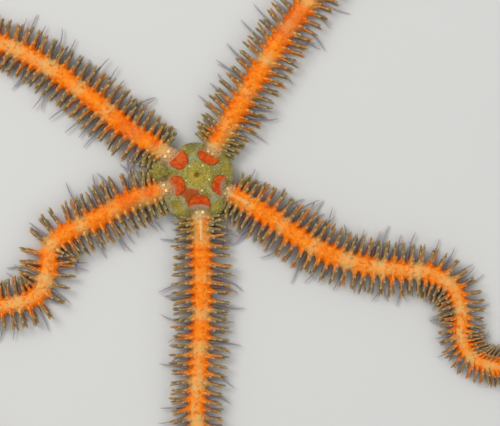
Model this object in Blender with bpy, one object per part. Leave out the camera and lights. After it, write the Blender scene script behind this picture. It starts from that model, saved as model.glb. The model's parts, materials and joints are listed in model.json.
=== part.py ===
"""A spiny brittle star lying on a level floor, life size, in a crawling pose.

Run it with blender --background --python part.py, or from Blender's text editor.
The origin is the middle of the mouth on the underside, at floor level, and +Z is up.
Each arm is a knobbly beam with a flat underside, parted into lengths by thin gaps.
Its spines stand in rows along both sides, fused into the length that carries them.
"""

import math
import random

import bmesh
import bpy
from mathutils import Matrix, Vector

MM = 0.001
GAP = 0.3 * MM  # between two neighbouring lengths, which touch in life
OVERLENGTH = 0.4 * MM  # of a length past its ends, before they are trimmed
FLOOR_CLEARANCE = 0.2 * MM  # under the lowest spine
WELD = 0.001 * MM

# The disc, seen from above from the middle of the mouth: rim knots as angle and radius
DISC_TOP = 4.3 * MM
DISC_RIM = 2.3 * MM  # height of the widest line of a lobe
DISC_BELLY = 0.5 * MM  # the underside of a lobe, clear of the floor
LOBES = [(12, 6.6), (102, 6.4), (175, 8.3), (240, 8.3), (301, 8.0)]
NOTCHES = [(58.5, 5.4), (145, 6.0), (202, 6.1), (273.5, 6.4), (330.5, 5.9)]
LOBE_FULLNESS = 1.0  # under 1 makes the notches narrow and the lobes broad
BELLY_FULLNESS = 0.45  # under 1 makes the underside flat
DISC_AROUND = 50
DISC_UP = 12

# The radial shields, a bare crescent over the root of each arm
SHIELD_INNER_EDGES = {"arm_1": 2.6, "arm_2": 3.0, "arm_3": 3.9, "arm_4": 2.9, "arm_5": 3.0}
SHIELD_HALF_ACROSS = 2.05 * MM
SHIELD_INNER_DEPTH = 1.7 * MM
SHIELD_OUTER_DEPTH = 0.45 * MM
SHIELD_HALF_THICK = 0.5 * MM
SHIELD_PROUD = 0.42 * MM
SHIELD_EDGE = 0.35  # under 1 makes the plate flat with steep edges
SHIELD_AROUND = 14
SHIELD_UP = 6

# The mouth: five slits between five jaws, whose tips close at the middle
MOUTH_FRAME_RADIUS = 3.4 * MM
MOUTH_FRAME_TOP = 1.6 * MM
MOUTH_SLIT_FROM = 0.6 * MM
MOUTH_SLIT_TO = 2.7 * MM
MOUTH_SLIT_WIDE = 0.45 * MM
MOUTH_DEPTH = 0.7 * MM

# The arms, where t runs from 0 at the root to 1 at the tip
ARM_FROM = 2.0 * MM  # where the root of an arm starts, inside the disc
ARM_HALF_WIDTH = 1.55 * MM
ARM_TIP_HALF_WIDTH = 0.36 * MM
TAPER_POWER = 2.2
KNOB_SWELL = 1.16  # how much wider a joint is where its spines stand
ROW_PITCH = 2.6 * MM
ROW_PITCH_TIP_SHARE = 0.75
FIRST_ROW = 0.3 * MM  # from the root
BARE_TIP = 0.8 * MM  # past the last row of spines

# The arm's cross-section in half widths: across, and up from the floor
SECTION = [(-0.64, 0.0), (0.64, 0.0), (1.0, 0.72), (0.5, 1.6), (-0.5, 1.6), (-1.0, 0.72)]

# The spines, measured from the side of the arm
SPINE_LENGTH = 3.6 * MM
SPINE_LENGTH_TIP_SHARE = 0.3
SPINE_FADE_POWER = 1.8
SPINE_RADIUS = 0.36 * MM  # to the corners of its three-sided section, at its root
SPINE_END_RADIUS = 0.25 * MM
SPINE_RADIUS_LIMIT = 0.55  # of the arm's half width, near the tip
ROOT_SPINE_SHARE = 0.55  # length of the spines beside the disc
ROOT_RAMP = 8.0 * MM  # from the disc to the first spines of full length
SPINE_SEED = 7
SPINE_TURN = 5.0  # how far a spine strays to either side, in degrees
SPINE_STRETCH = 0.12  # how far its length strays, as a share

SPINE_SHIFT = 0.26  # how far past the middle of a joint they stand, in row pitches

# The spines on each side of a row: across and up in half widths, elevation and lean
# towards the tip in degrees, and share of the full length
SPINE_PLACES = [(0.4, 0.4, 2.0, 16.0, 1.0), (0.3, 0.82, 37.0, 1.0, 0.9)]

# Each arm: its route on the floor in mm from the middle of the mouth, where its root
# leaves the disc, and where it parts into lengths, both in mm along the route
ARMS = {
    "arm_1": {
        "route": [(0, 0), (2.8, 4.7), (7.3, 12.1), (14.1, 23.2), (19.9, 31.2), (25.3, 38.6),
                  (32.3, 44.8), (41.3, 48.2), (51.0, 48.4), (60.0, 44.8), (67.1, 38.4)],
        "root": 6.3,
        "cuts": [38, 60, 78],
    },
    "arm_2": {
        "route": [(0, 0), (5.9, -3.3), (12.9, -7.4), (19.9, -12.2), (27.1, -15.4), (34.7, -16.9),
                  (41.5, -17.6), (46.0, -20.4), (47.5, -25.0), (47.5, -29.4), (50.0, -33.2),
                  (55.5, -34.8), (61.0, -35.2), (66.4, -33.4), (70.2, -29.4), (71.6, -24.2),
                  (70.6, -19.4)],
        "root": 6.9,
        "cuts": [24, 42, 58.5, 71, 86],
    },
    "arm_3": {
        "route": [(0, 0), (0.5, -7.2), (0.7, -14.0), (0.7, -24.0), (0.2, -35.0), (-0.2, -43.0),
                  (1.0, -49.8), (4.6, -56.3), (10.2, -60.6), (17.3, -62.3), (24.4, -60.8),
                  (31.0, -56.8), (36.5, -52.2)],
        "root": 7.6,
        "cuts": [40, 60, 76],
    },
    "arm_4": {
        "route": [(0, 0), (-7.6, -3.0), (-12.7, -4.8), (-18.2, -7.9), (-23.1, -10.2), (-26.4, -13.0),
                  (-27.0, -17.4), (-29.0, -21.6), (-34.0, -23.4), (-40.0, -24.2), (-45.0, -27.6),
                  (-47.4, -33.6), (-46.6, -40.2), (-42.6, -46.2), (-36.4, -50.2), (-29.0, -51.6),
                  (-24.6, -51.2)],
        "root": 7.2,
        "cuts": [23, 33, 47, 61, 77],
    },
    "arm_5": {
        "route": [(0, 0), (-6.4, 4.4), (-12.7, 8.5), (-19.1, 13.8), (-26.9, 19.5), (-35.5, 23.8),
                  (-44.0, 25.2), (-51.2, 22.8), (-56.0, 17.0), (-57.2, 10.0), (-55.0, 3.2),
                  (-50.0, -2.6), (-45.6, -5.8)],
        "root": 7.0,
        "cuts": [36, 55, 72],
    },
}
ROUTE_STEPS = 24  # straight steps between two route points


def clear_scene():
    for obj in list(bpy.data.objects):
        bpy.data.objects.remove(obj, do_unlink=True)


def new_collection(name):
    collection = bpy.data.collections.new(name)
    bpy.context.scene.collection.children.link(collection)
    return collection


def finish(name, colour, roughness):
    made = bpy.data.materials.new(name)
    made.use_nodes = True
    shader = made.node_tree.nodes["Principled BSDF"]
    shader.inputs["Base Color"].default_value = (*colour, 1.0)
    shader.inputs["Roughness"].default_value = roughness
    shader.inputs["Metallic"].default_value = 0.0
    return made


class Route:
    """The line that an arm follows on the floor, measured by length from the middle of the mouth."""

    def __init__(self, points):
        knots = [Vector((x, y, 0.0)) * MM for x, y in points]
        knots = [2 * knots[0] - knots[1], *knots, 2 * knots[-1] - knots[-2]]
        self.places = []
        for before, start, end, after in zip(knots, knots[1:], knots[2:], knots[3:]):
            for step in range(ROUTE_STEPS):
                self.places.append(self.between(before, start, end, after, step / ROUTE_STEPS))
        self.places.append(knots[-2])
        self.marks = [0.0]
        for start, end in zip(self.places, self.places[1:]):
            self.marks.append(self.marks[-1] + (end - start).length)
        self.length = self.marks[-1]

    @staticmethod
    def between(before, start, end, after, u):
        """A Catmull-Rom curve from start to end, which runs on smoothly through both."""
        return 0.5 * (
            2 * start
            + (end - before) * u
            + (2 * before - 5 * start + 4 * end - after) * u**2
            + (3 * start - before - 3 * end + after) * u**3
        )

    def place(self, along):
        along = min(max(along, 0.0), self.length)
        low, high = 0, len(self.marks) - 1
        while high - low > 1:
            middle = (low + high) // 2
            low, high = (middle, high) if self.marks[middle] <= along else (low, middle)
        share = (along - self.marks[low]) / (self.marks[high] - self.marks[low])
        return self.places[low].lerp(self.places[high], share)

    def heading(self, along):
        reach = 0.6 * MM
        along = min(max(along, reach), self.length - reach)
        return (self.place(along + reach) - self.place(along - reach)).normalized()


class Arm:
    """The sizes of one arm along its route, from its root at the disc to its tip."""

    def __init__(self, name, route, root, cuts):
        self.name = name
        self.route = Route(route)
        self.root = root * MM
        self.rows = self.place_rows()
        self.notches = [(a + b) / 2 for a, b in zip(self.rows, self.rows[1:])]
        ends = [min(self.notches, key=lambda notch: abs(notch - cut * MM)) for cut in cuts]
        self.ends = [self.root, *ends, self.route.length]

    def share(self, along):
        return min(max((along - self.root) / (self.route.length - self.root), 0.0), 1.0)

    def half_width(self, along):
        fade = 1 - self.share(along) ** TAPER_POWER
        return ARM_TIP_HALF_WIDTH + (ARM_HALF_WIDTH - ARM_TIP_HALF_WIDTH) * fade

    def place_rows(self):
        """The stations of the spine rows, which close up towards the tip."""
        rows = [self.root + FIRST_ROW]
        while rows[-1] < self.route.length - BARE_TIP:
            rows.append(rows[-1] + self.pitch(rows[-1]))
        return rows[:-1]

    def pitch(self, along):
        return ROW_PITCH * (1 - (1 - ROW_PITCH_TIP_SHARE) * self.share(along))

    def near_end(self, along):
        """The flat end of the length that starts here: a place and the way it faces."""
        return self.route.place(along), -self.route.heading(along)

    def far_end(self, along):
        """The flat end of the length before it, one gap away and parallel to it."""
        heading = self.route.heading(along)
        return self.route.place(along) - heading * GAP, heading

    def spine_length(self, along):
        fade = 1 - self.share(along) ** SPINE_FADE_POWER
        length = SPINE_LENGTH * (SPINE_LENGTH_TIP_SHARE + (1 - SPINE_LENGTH_TIP_SHARE) * fade)
        ramp = min(1.0, (along - self.root) / ROOT_RAMP)
        return length * (ROOT_SPINE_SHARE + (1 - ROOT_SPINE_SHARE) * ramp)

    def stations(self, start, end):
        """(distance, half width) of each ring of a length, swelling at every row of spines.

        The first and last rings lie beyond the length's ends, which are trimmed later.
        """
        found = [(start - OVERLENGTH, self.half_width(start))]
        for row in self.rows:
            if start < row < end:
                found.append((row, self.half_width(row) * KNOB_SWELL))
        for notch in self.notches:
            if start < notch < end:
                found.append((notch, self.half_width(notch)))
        beyond = end if end == self.route.length else end + OVERLENGTH
        found.append((beyond, self.half_width(end)))
        return sorted(found)


def profile(name, points):
    """A closed flat outline that a curve can carry along its length."""
    data = bpy.data.curves.new(name, "CURVE")
    data.dimensions = "2D"
    spline = data.splines.new("POLY")
    spline.points.add(len(points) - 1)
    spline.use_cyclic_u = True
    for point, (across, up) in zip(spline.points, points):
        point.co = (across, up, 0.0, 1.0)
    guide = bpy.data.objects.new(name, data)
    guide.hide_render = True
    guide.display_type = "WIRE"
    bpy.context.scene.collection.objects.link(guide)
    return guide


def beam(name, arm, stations, section):
    """A mesh beam along the arm's route, whose section grows with each station's half width."""
    data = bpy.data.curves.new(name, "CURVE")
    data.dimensions = "3D"
    data.twist_mode = "Z_UP"
    data.bevel_mode = "OBJECT"
    data.bevel_object = section
    data.use_fill_caps = True
    spline = data.splines.new("POLY")
    spline.points.add(len(stations) - 1)
    for point, (along, half_width) in zip(spline.points, stations):
        place = arm.route.place(along)
        point.co = (place.x, place.y, 0.0, 1.0)
        point.radius = half_width
    curve = bpy.data.objects.new(name, data)
    bpy.context.scene.collection.objects.link(curve)
    made = welded_mesh_of(curve, name)
    bpy.data.objects.remove(curve, do_unlink=True)
    return made


def welded_mesh_of(source, name):
    """A new mesh object with source's evaluated shape, its loose caps welded and its faces outwards."""
    bpy.context.view_layer.update()
    graph = bpy.context.evaluated_depsgraph_get()
    mesh = bpy.data.meshes.new_from_object(source.evaluated_get(graph))
    work = bmesh.new()
    work.from_mesh(mesh)
    bmesh.ops.remove_doubles(work, verts=work.verts, dist=WELD)
    bmesh.ops.recalc_face_normals(work, faces=work.faces)
    work.to_mesh(mesh)
    work.free()
    made = bpy.data.objects.new(name, mesh)
    made.matrix_world = source.matrix_world
    return made


def mesh_object(name, work):
    mesh = bpy.data.meshes.new(name)
    work.to_mesh(mesh)
    work.free()
    return bpy.data.objects.new(name, mesh)


def largest_surface(mesh):
    """Drops every closed surface of the mesh but the one with most faces."""
    work = bmesh.new()
    work.from_mesh(mesh)
    unseen = set(work.faces)
    surfaces = []
    while unseen:
        edge_of = [unseen.pop()]
        surface = set(edge_of)
        while edge_of:
            face = edge_of.pop()
            for edge in face.edges:
                for other in edge.link_faces:
                    if other in unseen:
                        unseen.discard(other)
                        surface.add(other)
                        edge_of.append(other)
        surfaces.append(surface)
    keep = max(surfaces, key=len)
    loose = [face for surface in surfaces if surface is not keep for face in surface]
    bmesh.ops.delete(work, geom=loose, context="FACES")
    work.to_mesh(mesh)
    work.free()


def boolean(target, others, operation):
    """Joins the others to the target's mesh, or cuts them from it, and removes them."""
    group = new_collection(f"{operation.lower()} for {target.name}")
    for other in others:
        group.objects.link(other)
    modifier = target.modifiers.new(operation.lower(), "BOOLEAN")
    modifier.operation = operation
    modifier.operand_type = "COLLECTION"
    modifier.collection = group
    modifier.solver = "MANIFOLD"
    bpy.context.view_layer.update()
    graph = bpy.context.evaluated_depsgraph_get()
    mesh = bpy.data.meshes.new_from_object(target.evaluated_get(graph))
    target.modifiers.remove(modifier)
    target.data = mesh
    for other in others:
        bpy.data.objects.remove(other, do_unlink=True)
    bpy.data.collections.remove(group)


def trim(mesh, place, outwards):
    """Takes off what lies past the plane through place, and closes the cut."""
    work = bmesh.new()
    work.from_mesh(mesh)
    everything = [*work.verts, *work.edges, *work.faces]
    cut = bmesh.ops.bisect_plane(
        work, geom=everything, dist=WELD, plane_co=place, plane_no=outwards, clear_outer=True
    )
    rim = [item for item in cut["geom_cut"] if isinstance(item, bmesh.types.BMEdge)]
    bmesh.ops.holes_fill(work, edges=rim, sides=0)
    bmesh.ops.recalc_face_normals(work, faces=work.faces)
    work.to_mesh(mesh)
    work.free()


def node(name, body, pieces, ends, look, parts):
    """Links the body as a node, with its pieces fused in and its ends trimmed flat.

    Each of the ends is a place and the direction that faces out of the node there.
    """
    body.name = name
    parts.objects.link(body)
    boolean(body, pieces, "UNION")
    for place, outwards in ends:
        trim(body.data, place, outwards)
    largest_surface(body.data)
    body.data.name = name
    body.data.materials.clear()
    body.data.materials.append(look)


def rim_radius(angle):
    """The disc's radius at an angle in degrees, drawn in at each arm and full at each lobe."""
    knots = sorted([(a, r, False) for a, r in NOTCHES] + [(a, r, True) for a, r in LOBES])
    knots = [(knots[-1][0] - 360, *knots[-1][1:]), *knots, (knots[0][0] + 360, *knots[0][1:])]
    angle %= 360
    for (start, first, first_is_lobe), (end, second, _) in zip(knots, knots[1:]):
        if start <= angle <= end:
            share = (angle - start) / (end - start)
            if first_is_lobe:
                return MM * (second + (first - second) * lobe_share(1 - share))
            return MM * (first + (second - first) * lobe_share(share))
    return MM * knots[0][1]


def lobe_share(from_notch):
    return math.sin(math.pi / 2 * from_notch) ** LOBE_FULLNESS


def dome_height(radius, rim):
    rise = math.sqrt(max(0.0, 1 - (radius / rim) ** 2))
    return DISC_RIM + (DISC_TOP - DISC_RIM) * rise


def disc_body():
    """A soft dome over a flatter belly, from a sphere whose points move out to the lobes."""
    work = bmesh.new()
    bmesh.ops.create_uvsphere(work, u_segments=DISC_AROUND, v_segments=DISC_UP, radius=1.0)
    for vertex in work.verts:
        angle = math.atan2(vertex.co.y, vertex.co.x)
        rim = rim_radius(math.degrees(angle))
        out = math.hypot(vertex.co.x, vertex.co.y)
        if vertex.co.z >= 0:
            height = DISC_RIM + (DISC_TOP - DISC_RIM) * vertex.co.z
        else:
            height = DISC_RIM - (DISC_RIM - DISC_BELLY) * (-vertex.co.z) ** BELLY_FULLNESS
        vertex.co = (rim * out * math.cos(angle), rim * out * math.sin(angle), height)
    return mesh_object("disc body", work)


def shield(arm):
    """The crescent over an arm's root, round on its inner side, set on the slope of the dome."""
    middle = SHIELD_INNER_EDGES[arm.name] * MM + SHIELD_INNER_DEPTH
    towards = arm.route.place(middle)
    angle = math.atan2(towards.y, towards.x)
    rim = rim_radius(math.degrees(angle))
    drop = 0.5 * MM
    slope = (dome_height(middle - drop, rim) - dome_height(middle + drop, rim)) / (2 * drop)
    work = bmesh.new()
    bmesh.ops.create_uvsphere(work, u_segments=SHIELD_AROUND, v_segments=SHIELD_UP, radius=1.0)
    for vertex in work.verts:
        out, across, up = vertex.co
        out *= SHIELD_INNER_DEPTH if out < 0 else SHIELD_OUTER_DEPTH
        up = math.copysign(abs(up) ** SHIELD_EDGE, up) * SHIELD_HALF_THICK
        vertex.co = (out, across * SHIELD_HALF_ACROSS, up)
    tilt = Matrix.Rotation(math.atan(slope), 4, "Y")
    lift = dome_height(middle - SHIELD_INNER_DEPTH / 2, rim) - slope * SHIELD_INNER_DEPTH / 2
    place = Matrix.Translation((middle, 0.0, lift + SHIELD_PROUD - SHIELD_HALF_THICK))
    bmesh.ops.transform(work, matrix=Matrix.Rotation(angle, 4, "Z") @ place @ tilt, verts=work.verts)
    return mesh_object("shield", work)


def mouth_frame():
    work = bmesh.new()
    bmesh.ops.create_cone(
        work, cap_ends=True, segments=20, radius1=MOUTH_FRAME_RADIUS, radius2=MOUTH_FRAME_RADIUS,
        depth=MOUTH_FRAME_TOP, matrix=Matrix.Translation((0, 0, MOUTH_FRAME_TOP / 2)),
    )
    return mesh_object("mouth frame", work)


def mouth_slit(arm):
    length = MOUTH_SLIT_TO - MOUTH_SLIT_FROM
    towards = arm.route.place(MOUTH_SLIT_TO)
    turn = Matrix.Rotation(math.atan2(towards.y, towards.x), 4, "Z")
    place = Matrix.Translation((MOUTH_SLIT_FROM + length / 2, 0.0, 0.0))
    size = Matrix.Diagonal((length, MOUTH_SLIT_WIDE, 2 * MOUTH_DEPTH, 1.0))
    work = bmesh.new()
    bmesh.ops.create_cube(work, size=1.0, matrix=turn @ place @ size)
    return mesh_object("mouth slit", work)


def disc(arms, section, look, parts):
    """The disc with the roots of the arms in it, the radial shields and the mouth."""
    pieces = [mouth_frame()]
    for arm in arms:
        width = arm.half_width(arm.root)
        stations = [(ARM_FROM, width), (arm.root + OVERLENGTH, width)]
        root = beam("arm root", arm, stations, section)
        trim(root.data, *arm.far_end(arm.root))
        pieces += [root, shield(arm)]
    body = disc_body()
    node("disc", body, pieces, [], look, parts)
    boolean(body, [mouth_slit(arm) for arm in arms], "DIFFERENCE")
    body.data.name = "disc"


def spine(root, direction, length, radius):
    """A three-sided spine that tapers to a blunt tip."""
    work = bmesh.new()
    bmesh.ops.create_cone(
        work, cap_ends=True, segments=3, radius1=radius, radius2=min(radius, SPINE_END_RADIUS),
        depth=length, matrix=Matrix.Translation((0, 0, length / 2)),
    )
    turn = direction.to_track_quat("Z", "Y").to_matrix().to_4x4()
    bmesh.ops.transform(work, matrix=Matrix.Translation(root) @ turn, verts=work.verts)
    return mesh_object("spine", work)


def row_of_spines(arm, row, chance):
    """The spines of one row, standing out from both sides of the arm."""
    along = row + SPINE_SHIFT * arm.pitch(row)
    middle = arm.route.place(along)
    heading = arm.route.heading(along)
    across = Vector((-heading.y, heading.x, 0.0))
    width = arm.half_width(along) * KNOB_SWELL
    radius = min(SPINE_RADIUS, SPINE_RADIUS_LIMIT * width)
    made = []
    for side in (-1, 1):
        for out, up, elevation, lean, share in SPINE_PLACES:
            root = middle + across * (side * out * width) + Vector((0.0, 0.0, up * width))
            sunk = (1 - out) * width
            stretch = 1 + chance.uniform(-SPINE_STRETCH, SPINE_STRETCH)
            length = sunk + arm.spine_length(along) * share * stretch
            lowest = math.asin(max(-1.0, (FLOOR_CLEARANCE + SPINE_END_RADIUS / 2 - root.z) / length))
            rise = max(math.radians(elevation + chance.uniform(-SPINE_TURN, SPINE_TURN)), lowest)
            turn = math.radians(lean + chance.uniform(-SPINE_TURN, SPINE_TURN))
            level = across * (side * math.cos(turn)) + heading * math.sin(turn)
            direction = level * math.cos(rise) + Vector((0.0, 0.0, math.sin(rise)))
            made.append(spine(root, direction, length, radius))
    return made


def arm_lengths(arm, section, look, parts):
    """The nodes of one arm, each a length with its own spines, from the disc to the tip."""
    chance = random.Random(f"{SPINE_SEED} {arm.name}")
    for count, (start, end) in enumerate(zip(arm.ends, arm.ends[1:]), start=1):
        name = f"{arm.name}_length_{count}"
        stations = arm.stations(start, end)
        body = beam(name, arm, stations, section)
        ends = [arm.near_end(start)]
        if end != arm.ends[-1]:
            ends.append(arm.far_end(end))
        spines = []
        for row in arm.rows:
            if start < row < end:
                spines += row_of_spines(arm, row, chance)
        node(name, body, spines, ends, look, parts)


def main():
    clear_scene()
    parts = new_collection("brittle star")
    olive = finish("disc skin", (0.42, 0.40, 0.16), 0.6)
    orange = finish("arm skin", (0.95, 0.36, 0.06), 0.55)
    section = profile("arm section", SECTION)
    arms = [Arm(name, **sizes) for name, sizes in ARMS.items()]
    disc(arms, section, olive, parts)
    for arm in arms:
        arm_lengths(arm, section, orange, parts)
    bpy.data.objects.remove(section, do_unlink=True)


main()
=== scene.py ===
"""A spiny brittle star crawling on a pale floor, seen from straight above.

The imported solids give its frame: the origin is the middle of the mouth, at floor level,
and +Z is up. One skin takes the place of the solids' flesh. Bare shields, granules,
spines and tube feet are set on it as pieces of their own.
"""

import json
import logging
import math
import random
from dataclasses import dataclass, field
from enum import Enum
from typing import Any, Sequence

import bpy
import numpy as np
from bpy.types import Collection, Material, Mesh, Node, NodeSocket, NodeTree, Object
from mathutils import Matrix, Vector, noise

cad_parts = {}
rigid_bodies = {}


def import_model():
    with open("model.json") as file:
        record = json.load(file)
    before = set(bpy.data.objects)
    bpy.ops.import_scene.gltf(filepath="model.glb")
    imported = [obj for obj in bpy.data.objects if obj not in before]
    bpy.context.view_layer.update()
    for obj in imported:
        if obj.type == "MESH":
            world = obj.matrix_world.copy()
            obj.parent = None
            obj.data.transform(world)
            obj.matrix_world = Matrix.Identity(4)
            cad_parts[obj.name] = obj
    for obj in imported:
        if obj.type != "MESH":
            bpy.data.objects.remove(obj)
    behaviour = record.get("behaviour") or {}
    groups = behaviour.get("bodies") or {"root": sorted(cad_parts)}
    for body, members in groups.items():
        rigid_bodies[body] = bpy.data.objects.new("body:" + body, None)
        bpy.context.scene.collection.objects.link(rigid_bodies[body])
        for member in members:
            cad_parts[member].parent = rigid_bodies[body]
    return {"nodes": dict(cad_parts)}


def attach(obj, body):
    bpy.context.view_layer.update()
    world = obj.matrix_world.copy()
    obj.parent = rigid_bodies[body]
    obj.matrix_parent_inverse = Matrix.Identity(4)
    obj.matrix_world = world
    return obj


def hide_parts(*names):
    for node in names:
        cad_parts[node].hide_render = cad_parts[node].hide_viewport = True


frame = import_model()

log = logging.getLogger("brittle_star")

MM = 0.001
BODY = "root"
BAKE_MAP = "OFBake"
PATCH = 0.003  # width of one small form's patch on the bake map
FLOOR_GAP = 0.02  # how far the skin's underside stays above the floor, in mm
CREST = 0.74  # where on a joint its row of spines stands, as a share of its length

# The edges of the rusty blotch on the disc: the x and y of each one's way out, and its distance in mm
BLOTCH = (
    (0.0, 1.0, -2.2),
    (1.0, 0.0, 0.6),
    (0.775, -0.632, 2.5),
    (-0.783, -0.622, 4.9),
    (-0.898, 0.44, 1.4),
)

# Marks on the skin seen from above, as x, y, radius and the width of their soft edge, all in mm
YELLOW_MIDDLE = (0.1, -0.1, 2.5, 2.2)
MILKY_MARK = (-0.6, 3.2, 0.65, 1.1)
YELLOW_LOBES = [
    (x, y, 0.7, 1.4) for x, y in ((-6.6, 0.7), (-3.2, -6.2), (3.3, -5.6), (5.3, 1.0), (-1.2, 4.7))
]
DUSKY_LOBES = [(x, y, 1.2, 1.4) for x, y in ((-1.0, 5.3), (-6.0, 0.6))]
BLUSHES = [(x, y, 1.2, 1.6) for x, y in ((2.6, 3.9), (-4.9, 3.6), (-6.0, 4.4), (-5.3, -2.3))]

# Where the arms are reddest, as x, y and radius in mm. Each mark is soft over as much as its radius.
REDDEST = (
    (-1.8, -8.3, 0.8),
    (1.6, -8.2, 0.7),
    (5.9, -4.6, 0.8),
    (6.5, -2.0, 0.8),
    (-9.0, -3.0, 1.6),
    (-12.5, -4.7, 1.8),
    (-12.0, 8.6, 3.0),
    (-7.6, 5.8, 1.0),
    (3.0, 8.0, 1.4),
    (17.0, 27.5, 4.0),
)
EMBERS = [(x, y, radius, radius) for x, y, radius in REDDEST]

Place = tuple[float, float]
Spot = tuple[float, float, float]
Mark = tuple[float, float, float, float]
Colour = tuple[float, float, float]
Entries = dict[str | int, Any]
Number = float | np.ndarray


def linear(red: float, green: float, blue: float) -> Colour:
    """Turns a colour as a screen shows it, from 0 to 1, into the linear light that shaders take."""
    return tuple(((c + 0.055) / 1.055) ** 2.4 if c > 0.04045 else c / 12.92 for c in (red, green, blue))


def smooth(low: float, high: float, value: Number) -> Number:
    """Rises smoothly from 0 at low to 1 at high, or falls if low is the larger."""
    share = np.clip((value - low) / (high - low), 0.0, 1.0)
    return share * share * (3.0 - 2.0 * share)


def hump(value: Number, middle: float, reach: float) -> Number:
    """A soft hump of height 1 about middle, which has fallen to a third at reach."""
    return np.exp(-(((value - middle) / reach) ** 2))


def squarer(value: Number, power: float) -> Number:
    """A sine or cosine made squarer by a power below 1, with its sign kept."""
    return np.sign(value) * np.abs(value) ** power


# Node trees


class Signal:
    """A number socket on which plain arithmetic adds Math nodes."""

    def __init__(self, board: "Board", socket: NodeSocket) -> None:
        """Keeps the socket and the board that it belongs to."""
        self.board = board
        self.socket = socket

    def __add__(self, other: "Signal | float") -> "Signal":
        """The sum of the two."""
        return self.board.math("ADD", self, other)

    def __sub__(self, other: "Signal | float") -> "Signal":
        """This number less the other."""
        return self.board.math("SUBTRACT", self, other)

    def __rsub__(self, other: float) -> "Signal":
        """A plain number less this one."""
        return self.board.math("SUBTRACT", other, self)

    def __mul__(self, other: "Signal | float") -> "Signal":
        """The product of the two."""
        return self.board.math("MULTIPLY", self, other)

    __radd__ = __add__
    __rmul__ = __mul__

    def clipped(self) -> "Signal":
        """The number held between 0 and 1."""
        return self.board.math("ADD", self, 0.0, clamp=True)

    def step(self, low: float, high: float) -> "Signal":
        """A smooth step between 0 and 1.

        Args:
            low: Where it is 0.
            high: Where it is 1, above or below the other.

        Returns:
            The height of the step.
        """
        rises = low <= high
        feeds = {"Value": self, "From Min": min(low, high), "From Max": max(low, high)}
        feeds |= {"To Min": float(not rises), "To Max": float(rises)}
        return self.board.value("ShaderNodeMapRange", "Result", {"interpolation_type": "SMOOTHSTEP"}, feeds)


class Board:
    """A node tree that is being filled, for a material or for Geometry Nodes."""

    def __init__(self, tree: NodeTree) -> None:
        """Keeps the tree."""
        self.tree = tree

    def feed(self, socket: NodeSocket, value: Any) -> None:
        """Links an input to another socket, or sets it to a plain value.

        Args:
            socket: The input.
            value: The socket or Signal that it is linked to, or its value.
        """
        if isinstance(value, Signal):
            value = value.socket
        if isinstance(value, NodeSocket):
            self.tree.links.new(value, socket)
        else:
            socket.default_value = (*value, 1.0) if socket.type == "RGBA" else value

    def node(self, kind: str, settings: Entries | None = None, feeds: Entries | None = None) -> Node:
        """Adds one node.

        Args:
            kind: The node's type.
            settings: What is set on the node itself, before its sockets.
            feeds: A value or a link for each input, by its name or number.

        Returns:
            The new node.
        """
        made = self.tree.nodes.new(kind)
        for name, value in (settings or {}).items():
            setattr(made, name, value)
        for name, value in (feeds or {}).items():
            self.feed(made.inputs[name], value)
        return made

    def out(
        self, kind: str, output: str | int, settings: Entries | None = None, feeds: Entries | None = None
    ) -> NodeSocket:
        """Adds one node, as the method above, and takes its output of a name or number."""
        return self.node(kind, settings, feeds).outputs[output]

    def value(
        self, kind: str, output: str | int, settings: Entries | None = None, feeds: Entries | None = None
    ) -> Signal:
        """Adds one node and takes an output of it that is a number."""
        return Signal(self, self.out(kind, output, settings, feeds))

    def math(
        self, operation: str, first: Signal | float, second: Signal | float, clamp: bool = False
    ) -> Signal:
        """Adds a Math node for two numbers, with its result held between 0 and 1 if that is asked."""
        settings = {"operation": operation, "use_clamp": clamp}
        return self.value("ShaderNodeMath", 0, settings, {0: first, 1: second})

    def vectors(self, operation: str, first: Any, second: Any) -> Node:
        """Adds a Vector Math node for two vectors, or for a vector and its scale."""
        feeds = {0: first, "Scale" if operation == "SCALE" else 1: second}
        return self.node("ShaderNodeVectorMath", {"operation": operation}, feeds)


@dataclass(frozen=True)
class Mottle:
    """Grains in which one colour shows through another."""

    per_mm: float  # how many grains fit in a millimetre
    low: float  # the noise where the colour starts to show
    high: float  # the noise where it shows in full, above or below the other
    share: float = 1.0  # how much of it shows there
    detail: float = 3.0  # how many finer layers the noise has
    rough: float = 0.55  # how strong the finer layers are


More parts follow.
